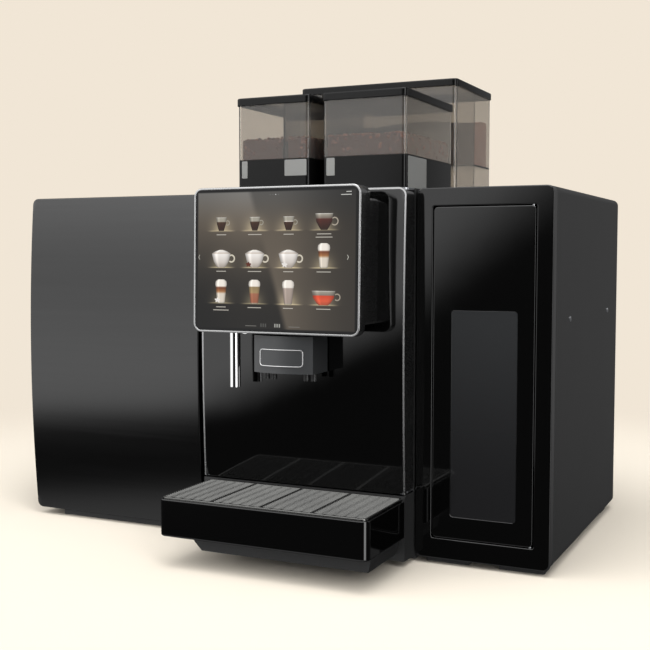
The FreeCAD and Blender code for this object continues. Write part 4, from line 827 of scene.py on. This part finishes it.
def add_drink(column, shelf, height, widths, layers, proud=0.00015):
    """A cup or glass: half width from the (share of height, mm) pairs, colour from the (share, colour)
    pairs, times 1 - 0.34 s^4 across, with a soft streak of light left of the middle."""
    s, t = np.meshgrid(np.linspace(-1, 1, 17), np.linspace(0, 1, 41), indexing="ij")
    half = np.interp(t, *zip(*widths)) * MM
    x, z = column + s * half, shelf + t * height * MM
    shares, tones = zip(*layers)
    base = np.stack([np.interp(t, shares, [tone[k] for tone in tones]) for k in range(3)], axis=-1)
    shine = 1 - 0.34 * s**4 + 0.16 * np.exp(-(((s + 0.55) / 0.16) ** 2))
    add_patch(x, z, base * shine[..., None], proud)


def add_handle(column, shelf, place, size, colour):
    """A ring of a handle: radius from inner to outer, over most of a turn."""
    a, r = np.meshgrid(np.linspace(-2.3, 2.3, 25), np.linspace(size[0], size[1], 4), indexing="ij")
    x, z = column + (place[0] + r * np.cos(a)) * MM, shelf + (place[1] + r * np.sin(a)) * MM
    add_patch(x, z, np.array(colour), 0.00012)


def add_bar(x, z, wide, high, colour, proud=0.00015):
    """A plain bar, which stands for a line of writing."""
    bx, bz = np.meshgrid([x - wide / 2, x + wide / 2], [z - high / 2, z + high / 2], indexing="ij")
    add_patch(bx, bz, np.array(colour), proud)


SMALL_CUP = [(0, 4.2), (0.12, 5.0), (0.5, 7.4), (1, 8.8)]
BIG_CUP = [(0, 5.0), (0.15, 7.5), (0.5, 12.2), (1, 13.8)]
ROUND_CUP = [(0, 6.0), (0.08, 8.5), (0.35, 12.6), (0.78, 15.6), (0.80, 15.6), (0.93, 9.5), (1, 3.0)]
TALL_GLASS = [(0, 5.6), (0.05, 6.4), (0.72, 9.0), (0.80, 9.6), (0.92, 9.0), (1, 5.5)]
TEA_CUP = [(0, 7.0), (0.12, 10.5), (0.5, 16.0), (1, 18.2)]
TOP, MIDDLE, LOW = SHELVES
CREMA = (0.30, 0.22, 0.16)
for column, top in zip(COLUMNS[:3], (CREMA, CREMA, FOAM)):
    espresso = [(0, (0.3, 0.28, 0.25)), (0.1, COFFEE), (0.6, (0.24, 0.15, 0.10)), (0.64, top),
                (0.7, GLASS), (0.96, GLASS), (1, CHINA)]
    add_drink(column, TOP, 19.5, SMALL_CUP, espresso)
    add_handle(column, TOP, (10.4, 11.5), (2.6, 3.7), GLASS)
long_coffee = [(0, (0.2, 0.16, 0.13)), (0.1, COFFEE), (0.66, (0.30, 0.13, 0.10)), (0.72, (0.45, 0.40, 0.36)),
               (0.95, GLASS), (1, CHINA)]
add_drink(COLUMNS[3], TOP, 23.0, BIG_CUP, long_coffee)
add_handle(COLUMNS[3], TOP, (16.0, 12.0), (4.4, 6.0), (0.66, 0.62, 0.56))
cappuccino = [(0, (0.62, 0.58, 0.54)), (0.3, (0.80, 0.77, 0.74)), (0.76, (0.93, 0.91, 0.89)),
              (0.80, (0.78, 0.73, 0.68)), (0.9, CHINA), (1, FOAM)]
for column in COLUMNS[:3]:
    add_handle(column, MIDDLE, (17.2, 13.0), (3.8, 6.0), (0.80, 0.77, 0.70))
    add_drink(column, MIDDLE, 25.5, ROUND_CUP, cappuccino, 0.00018)
latte = [(0, GLASS), (0.06, MILK), (0.4, MILK), (0.5, LATTE), (0.66, (0.42, 0.22, 0.12)), (0.72, FOAM),
         (1, FOAM)]
chai = [(0, GLASS), (0.06, (0.60, 0.36, 0.26)), (0.42, (0.62, 0.40, 0.30)), (0.46, (0.62, 0.52, 0.36)),
        (0.7, (0.56, 0.48, 0.34)), (0.73, FOAM), (1, FOAM)]
milk = [(0, GLASS), (0.06, (0.62, 0.56, 0.52)), (0.66, (0.66, 0.60, 0.56)), (0.7, FOAM), (1, FOAM)]
tall = ((3, MIDDLE, latte), (0, LOW, latte), (1, LOW, chai), (2, LOW, milk))
for column, shelf, layers in tall:
    add_drink(COLUMNS[column], shelf, 34.5, TALL_GLASS, layers)
tea = [(0, (0.66, 0.30, 0.20)), (0.3, (0.84, 0.34, 0.22)), (0.66, (0.80, 0.26, 0.15)),
       (0.7, (0.50, 0.46, 0.42)), (0.96, GLASS), (1, CHINA)]
add_handle(COLUMNS[3], LOW, (21.0, 11.5), (3.6, 5.2), (0.62, 0.58, 0.52))
add_drink(COLUMNS[3], LOW, 20.0, TEA_CUP, tea)

# %% Flowers, labels and buttons
WORDS = (0.72, 0.70, 0.66)
flowers = ((COLUMNS[1] - 0.010, MIDDLE, (0.36, 0.16, 0.10)), (COLUMNS[2] - 0.006, MIDDLE, CHINA),
           (COLUMNS[0] - 0.006, LOW, CHINA))
for spice, shelf, tone in flowers:
    for turn in np.linspace(0.2, 5.4, 5):
        s, t = np.meshgrid(np.linspace(-1, 1, 5), np.linspace(0, 1, 7), indexing="ij")
        along, wide = t * 5.0 * MM, s * np.sin(math.pi * np.clip(t, 0.02, 0.98)) * 1.4 * MM
        x = spice + along * math.cos(turn) - wide * math.sin(turn)
        z = shelf + 0.0045 + along * math.sin(turn) * 0.8 + wide * math.cos(turn)
        add_patch(x, z, np.array(tone), 0.00024)
for shelf in SHELVES:
    for k, column in enumerate(COLUMNS):
        add_bar(column, shelf - 0.0055, 0.016 + 0.006 * (k % 2), 0.0011, WORDS)
for column, shelf in ((COLUMNS[3], TOP), (COLUMNS[0], LOW)):
    add_bar(column, shelf - 0.0100, 0.026, 0.0011, WORDS)
for k, dot in enumerate((0.42, 0.42, 0.85, 0.42)):
    add_bar(0.068 + 0.0045 * k, 0.199, 0.0012, 0.0012, (dot, dot, dot))
add_bar(0.191, 0.2005, 0.008, 0.0010, (0.80, 0.80, 0.78))
add_bar(0.187, 0.1965, 0.016, 0.0010, (0.80, 0.80, 0.78))
for x, point in ((-0.048, -1), (0.189, 1)):
    s, t = np.meshgrid([-1.0, 0.0, 1.0], [0.0, 1.0], indexing="ij")
    arrow = x + point * (0.0018 * (1 - abs(s)) + 0.0009 * t)
    add_patch(arrow, 0.110 + 0.0034 * s, np.array((0.75, 0.74, 0.70)), 0.00015)
for x, tone in ((0.0585, 0.30), (0.0810, 0.62)):
    add_bar(x, 0.0125, 0.014, 0.0080, (0.10, 0.09, 0.08))
    for k in range(3):
        add_bar(x - 0.0036 + 0.0036 * k, 0.0125, 0.0020, 0.0050, (tone, tone, tone * 0.96), 0.0002)
for x in (0.038, 0.108):
    add_bar(x, 0.0112, 0.018, 0.0009, (0.45, 0.44, 0.42))
skin = (np.concatenate(drink_points), drink_faces)
lit = {"picture": np.concatenate(drink_colours)}
piece("menu_drinks", skin, "screen_glass", "machine_door_leaf", (), lit)

# %% [markdown]
# ## The badge plate, the drip tray and its grid
# The spout's front is a shallow arc, so the blank plate on it is bent by the same arc: every point moves
# back by the square of its distance from the middle. The tray is one closed profile carried round a
# rounded rectangle: bottom, outer wall, rim, ledge, basin. The cup grid is made of wavy steel wires held
# by cross bars. A wave that runs along the wire moves its middle line sideways, and six lines follow it
# to give a round section, which is light enough to repeat thirty times.

# %% Badge plate
badge = span("spout_badge")
badge_middle = 0.5 * sum(badge[0])
SPOUT_BOW, SPOUT_HALF = 0.011, 0.0475


def bent(points):
    """Moves points back by depth * (distance from the middle / half width) squared, as the housing does."""
    points = np.array(points, float)
    points[:, 1] += SPOUT_BOW * ((points[:, 0] - badge_middle) / SPOUT_HALF) ** 2
    return points


front = badge[1][0]
back = front + 0.0016
rim_rows = rounded([(0.0, back), (0.0, front), (0.0013, front), (0.0013, back)], [0, 0.0004, 0.0004, 0])
points, faces = carried(badge[0], badge[2], 0.005, rim_rows, "Y", closed=True, side=10)
piece("badge_rim", (bent(points), faces), "chrome", "spout", ["spout_badge"])
px, pz = np.meshgrid(np.linspace(badge[0][0] + 0.0012, badge[0][1] - 0.0012, 25),
                     np.linspace(badge[2][0] + 0.0012, badge[2][1] - 0.0012, 3), indexing="ij")
flat = np.stack([px, np.full(px.shape, front + 0.0006), pz], axis=-1).reshape(-1, 3)
piece("badge_plate", (bent(flat), quad_faces(25, 3)), "spout_grey", "spout")

# %% Tray and grid
tray_x, tray_y, tray_z = span("drip_tray")
TRAY_WALL, TRAY_LEDGE, TRAY_CORNER = 0.003, 0.007, 0.012
(under, rim), seat_z, basin = tray_z, tray_z[1] - TRAY_WALL, tray_z[0] + TRAY_WALL
rows = [(0.03, under), (0.0, under), (0.0, rim), (TRAY_WALL, rim), (TRAY_WALL, seat_z),
        (TRAY_LEDGE, seat_z), (TRAY_LEDGE, basin), (0.03, basin)]
rows = rounded(rows, [0, 0.0025, 0.0010, 0.0006, 0, 0.0004, 0.002, 0])
piece("tray_shell", carried(tray_x, tray_y, TRAY_CORNER, rows), "black_gloss", "tray", ["drip_tray"])

grid_x, grid_y, grid_z = span("drip_grid")
WIRE, PITCH, WAVE, WAVE_LENGTH = 0.0019, 0.0050, 0.0013, 0.0160


def wires(x0, x1):
    """Wavy wires along x: middle line y = y0 + WAVE sin(2 pi x / WAVE_LENGTH), with six lines round it."""
    count = int((grid_y[1] - grid_y[0] - 0.008) / PITCH)
    y0 = np.linspace(grid_y[0] + 0.0045, grid_y[1] - 0.0045, count)[:, None, None]
    x = np.linspace(x0, x1, 46)[None, :, None]
    turn = np.arange(6) * math.pi / 3
    dy, dz = np.cos(turn) * WIRE / 2, np.sin(turn) * WIRE / 2
    y = y0 + WAVE * np.sin(2 * math.pi * x / WAVE_LENGTH) + dy
    z = grid_z[1] - WIRE / 2 + dz + 0 * y
    points = np.stack([x + 0 * y, y, z], axis=-1)
    index = np.arange(points.size // 3).reshape(points.shape[:3])
    turned_index = np.roll(index, -1, axis=2)
    sides = [index[:, :-1], index[:, 1:], turned_index[:, 1:], turned_index[:, :-1]]
    ends = np.concatenate([index[:, 0, ::-1], index[:, -1]])
    return points.reshape(-1, 3), np.stack(sides, axis=-1).reshape(-1, 4).tolist() + ends.tolist()


def block(x, y, z, corner=0.0008, cap=0.0008, edges=(0.0004, 0.0004)):
    """Block between three pairs of coordinates, with round corners and its lower and upper edges eased.
    cap is the inset at which the flat end faces begin."""
    rows = [(cap, z[0]), (0, z[0]), (0, z[1]), (cap, z[1])]
    return carried(x, y, corner, rounded(rows, [0, *edges, 0]))


frame_rows = rounded([(0.0, grid_z[0]), (0.0, grid_z[1]), (0.0032, grid_z[1]), (0.0032, grid_z[0])],
                     [0.0005, 0.0012, 0.0006, 0.0005], closed=True)
parts = [carried(grid_x, grid_y, 0.009, frame_rows, closed=True)]
field = (grid_x[1] - grid_x[0] - 0.006) / 4
for k in range(4):
    start = grid_x[0] + 0.003 + k * field
    parts.append(wires(start, start + field))
    for middle in (start - 0.0013, start + 0.0013) if k else ():
        across = (middle - 0.0009, middle + 0.0009)
        parts.append(block(across, (grid_y[0] + 0.002, grid_y[1] - 0.002), (grid_z[0] + 0.001, grid_z[1])))
# painted shade: the wires take a copy of the steel finish whose colours are darkened to about half
shaded_wire_paint = metal_paint(rgb(80, 80, 79), rgb(100, 100, 98), 0.2, 0.34, 500.0, 0.000006)
finish("shaded_wire_steel", rgb(88, 88, 87), 0.28, 1.0, (), shaded_wire_paint)
piece("grid_wires", joined(*parts), "steel", "grid", ["drip_grid"], None, "shaded_wire_steel")

# %% [markdown]
# ## Hoppers, lids and beans
# The hoppers are moulded from a smoky clear plastic, 3 mm thick, open at the top. Real wall thickness
# matters here: light bends at both faces and the rounded corners collect bright lines. The lids are
# black caps with a rounded edge and a skirt. The black bases under the walls have pale windows.

# %% Walls
HOPPER_CORNER = 0.0067
EASE = 0.0007


def clear_walls(x, y, z, wall=0.003):
    """Ring of clear wall, open above and below, with eased rims."""
    rows = rounded([(0, z[0]), (0, z[1]), (wall, z[1]), (wall, z[0])], [EASE, EASE, EASE, EASE], closed=True)
    return carried(x, y, HOPPER_CORNER, rows, closed=True)


left_x, left_y, left_z = span("bean_hopper_left")
inner_y = (left_y[0] + 0.003, left_y[1] - 0.003)
partition = block((0.015, 0.018), inner_y, left_z, 0.0006, 0.0008, (0.0003, 0.0003))
left_skin = joined(clear_walls(left_x, left_y, left_z), partition)
piece("left_hopper_walls", left_skin, "clear_plastic", "chassis", ["bean_hopper_left"])
right_x, right_y, right_z = span("bean_hopper_right")
right_skin = clear_walls(right_x, right_y, right_z)
piece("right_hopper_walls", right_skin, "clear_plastic", "chassis", ["bean_hopper_right"])

# %% Lids
LID_EASE = 0.0022
CAP = {"IOR": 1.45, "Specular IOR Level": 0.22}
finish("cap_black", rgb(7, 7, 7), 0.2, 0.0, CAP, moulded_paint(rgb(6, 6, 6), rgb(10, 10, 10), 0.14, 0.24))


def lid(name, node, body):
    """Cap with a rounded top edge; its skirt comes down 2 mm inside the outline."""
    x, y, z = span(node)
    roof = z[1] - 0.003
    rows = [(0.03, roof), (0.002, roof), (0.002, z[0]), (0.0, z[0]), (0.0, z[1]), (0.03, z[1])]
    rows = rounded(rows, [0, 0.0005, 0.0006, 0.0006, LID_EASE, 0])
    piece(name, carried(x, y, HOPPER_CORNER + 0.0023, rows), "black_gloss", body, [node], None, "cap_black")


lid("left_lid_cap", "bean_lid_left", "left_lid")
lid("right_lid_cap", "bean_lid_right", "right_lid")
lid("rear_lid_cap", "powder_lid", "rear_lid")

# %% Bases with their windows
base_z = span("hopper_bases")[2]
window_paint = moulded_paint(rgb(112, 112, 110), rgb(132, 132, 129), 0.26, 0.36)
finish("window_plastic", rgb(122, 122, 120), 0.30, 0.0, {"IOR": 1.48}, window_paint)


shape = (base_z, HOPPER_CORNER, 0.02, (0.0006, 0.0008))
blocks = joined(block(left_x, left_y, *shape), block(right_x, right_y, *shape))
piece("hopper_base_blocks", blocks, "black_plastic", "chassis", ["hopper_bases"], None, "cap_black")


def pane_on_front(x, z, y):
    """Thin window plate that stands 0.4 mm in front of a face, facing front."""
    rows = rounded([(0, y + 0.001), (0, y - 0.0004), (0.002, y - 0.0004)], [0, 0.0003, 0])
    return carried(x, z, 0.0015, rows, "Y")


def pane_on_side(y, z, x):
    """The same plate on a face that looks right: a front plate whose x and y are swapped."""
    points, faces = pane_on_front(y, z, 0.0)
    return np.stack([x - points[:, 1], points[:, 0], points[:, 2]], axis=-1), faces


windows = joined(pane_on_front((-0.058, -0.048), (0.571, 0.598), left_y[0]),
                 pane_on_front((0.018, 0.056), (0.573, 0.598), left_y[0]),
                 pane_on_front((0.090, 0.104), (0.571, 0.598), right_y[0]),
                 pane_on_side((-0.1015, -0.022), (0.550, 0.598), right_x[1]))
piece("base_windows", windows, "clear_plastic", "chassis", (), None, "window_plastic")

# %% [markdown]
# ## Beans
# A roasted bean is an ellipsoid, flat on one side with a crease along it. Six rings of eight points are
# enough at this size, because hundreds lie in each hopper. Only the outer layer is made of beans; a dark
# block fills the middle where nobody can look. All beans of a hopper are one array: the same shape
# turned by random rotations and moved to random places, so no loop runs over them.

# %% Bean bed
random = np.random.default_rng(7)


def bean_shape():
    """Points and faces of one bean: (a cos v, b sin v cos u, c sin v sin u), its underside flattened to
    40 % and pressed in along the middle by exp(-(y / w)^2)."""
    v = np.linspace(0, math.pi, 8)[1:-1]
    u = np.linspace(0, 2 * math.pi, 8, endpoint=False)
    along, across = np.broadcast_to(np.cos(v)[:, None], (6, 8)), np.sin(v)[:, None]
    rings = np.stack([5.2 * along, 3.9 * across * np.cos(u), 3.1 * across * np.sin(u)], axis=-1) * MM
    low = rings[..., 2] < 0
    crease = 1 - 0.7 * np.exp(-((rings[..., 1] / (1.1 * MM)) ** 2))
    rings[..., 2] = np.where(low, rings[..., 2] * 0.4 * crease, rings[..., 2])
    return stacked(rings)


def turned_by(count):
    """Random rotation matrices, from unit quaternions."""
    turns = random.normal(size=(4, count))
    w, x, y, z = turns / np.linalg.norm(turns, axis=0)
    rows = [[1 - 2 * (y * y + z * z), 2 * (x * y - w * z), 2 * (x * z + w * y)],
            [2 * (x * y + w * z), 1 - 2 * (x * x + z * z), 2 * (y * z - w * x)],
            [2 * (x * z - w * y), 2 * (y * z + w * x), 1 - 2 * (x * x + y * y)]]
    return np.moveaxis(np.array(rows), -1, 0)


def bean_places(x, y, z):
    """Places over the top and the four sides of a bed, one for about every 8 by 7 mm, all a bean's
    half length inside it."""
    inset = 0.0054
    low, high = np.array([x[0], y[0], z[0]]) + inset, np.array([x[1], y[1], z[1]]) - inset
    wide, deep, tall = high - low
    front, flank = wide * tall, deep * tall
    found = []
    for axis, side, area in ((2, 1, wide * deep), (1, 0, front), (1, 1, front), (0, 0, flank), (0, 1, flank)):
        places = low + random.random((int(area / (0.0078 * 0.0070)), 3)) * (high - low)
        inward = -1 if side else 1
        places[:, axis] = (low, high)[side][axis] + 0.0014 * random.random(len(places)) * inward
        found.append(places)
    return np.concatenate(found)


def bean_bed(name, x, y, z, replaced=()):
    """Beans over a dark core, with one roast shade for each bean."""
    shape, faces = bean_shape()
    places = bean_places(x, y, z)
    points = np.einsum("nij,pj->npi", turned_by(len(places)), shape) + places[:, None]
    size, count = len(shape), len(places)
    many = [[n + first for n in face] for first in range(0, size * count, size) for face in faces]
    core = block((x[0] + 0.003, x[1] - 0.003), (y[0] + 0.003, y[1] - 0.003), (z[0] + 0.001, z[1] - 0.006))
    roast = np.r_[np.repeat(random.random(count), size), np.zeros(len(core[0]))]
    skin = joined((points.reshape(-1, 3), many), core)
    piece(name, skin, "coffee", "chassis", replaced, {"roast": roast})


fill = span("hopper_fill")
INNER = 0.0035
bed_z = (fill[2][0], fill[2][0] + 0.037)
bed_y = (left_y[0] + INNER, left_y[1] - INNER)
bean_bed("beans_left_front", (left_x[0] + INNER, 0.0146), bed_y, bed_z, ["hopper_fill"])
bean_bed("beans_left_second", (0.0184, left_x[1] - INNER), bed_y, bed_z)
bean_bed("beans_right", (right_x[0] + INNER, right_x[1] - INNER), bed_y, bed_z)

# %% Powder
POWDER_FRONT, POWDER_FLOOR = 0.2262, 0.6092
qx, qy = np.meshgrid(np.linspace(*fill[0], 60), np.linspace(POWDER_FRONT, fill[1][1], 24), indexing="ij")
mound = 0.0035 * np.sin(qx * 31.0 + 1.0) * np.cos(qy * 44.0) - 0.0045 + 0.0006 * random.random(qx.shape)
top = np.stack([qx, qy, fill[2][1] + mound], axis=-1).reshape(-1, 3)
border = border_of(*qx.shape)
skirt = top[border].copy()
skirt[:, 2] = POWDER_FLOOR
powder = hung(top, quad_faces(*qx.shape), border, [skirt])
piece("powder_heap", powder, "coffee", "chassis", (), {"roast": np.full(len(powder[0]), 0.85)})

# %% [markdown]
# ## Pieces that keep their CAD shape
# The works behind the doors, the hinges and the rear sheets are right as they are: they keep their
# meshes and only take the finish of their slot.

# %% Finishes for the CAD nodes
slots = {row["node"]: row["material_slot"] for row in frame["record"]["subparts"]}
for node, made in frame["nodes"].items():
    for socket in made.material_slots:
        socket.material = FINISHES.get(slots[node], FINISHES["cast_aluminium"])
print("CAD nodes dressed:", len(slots))
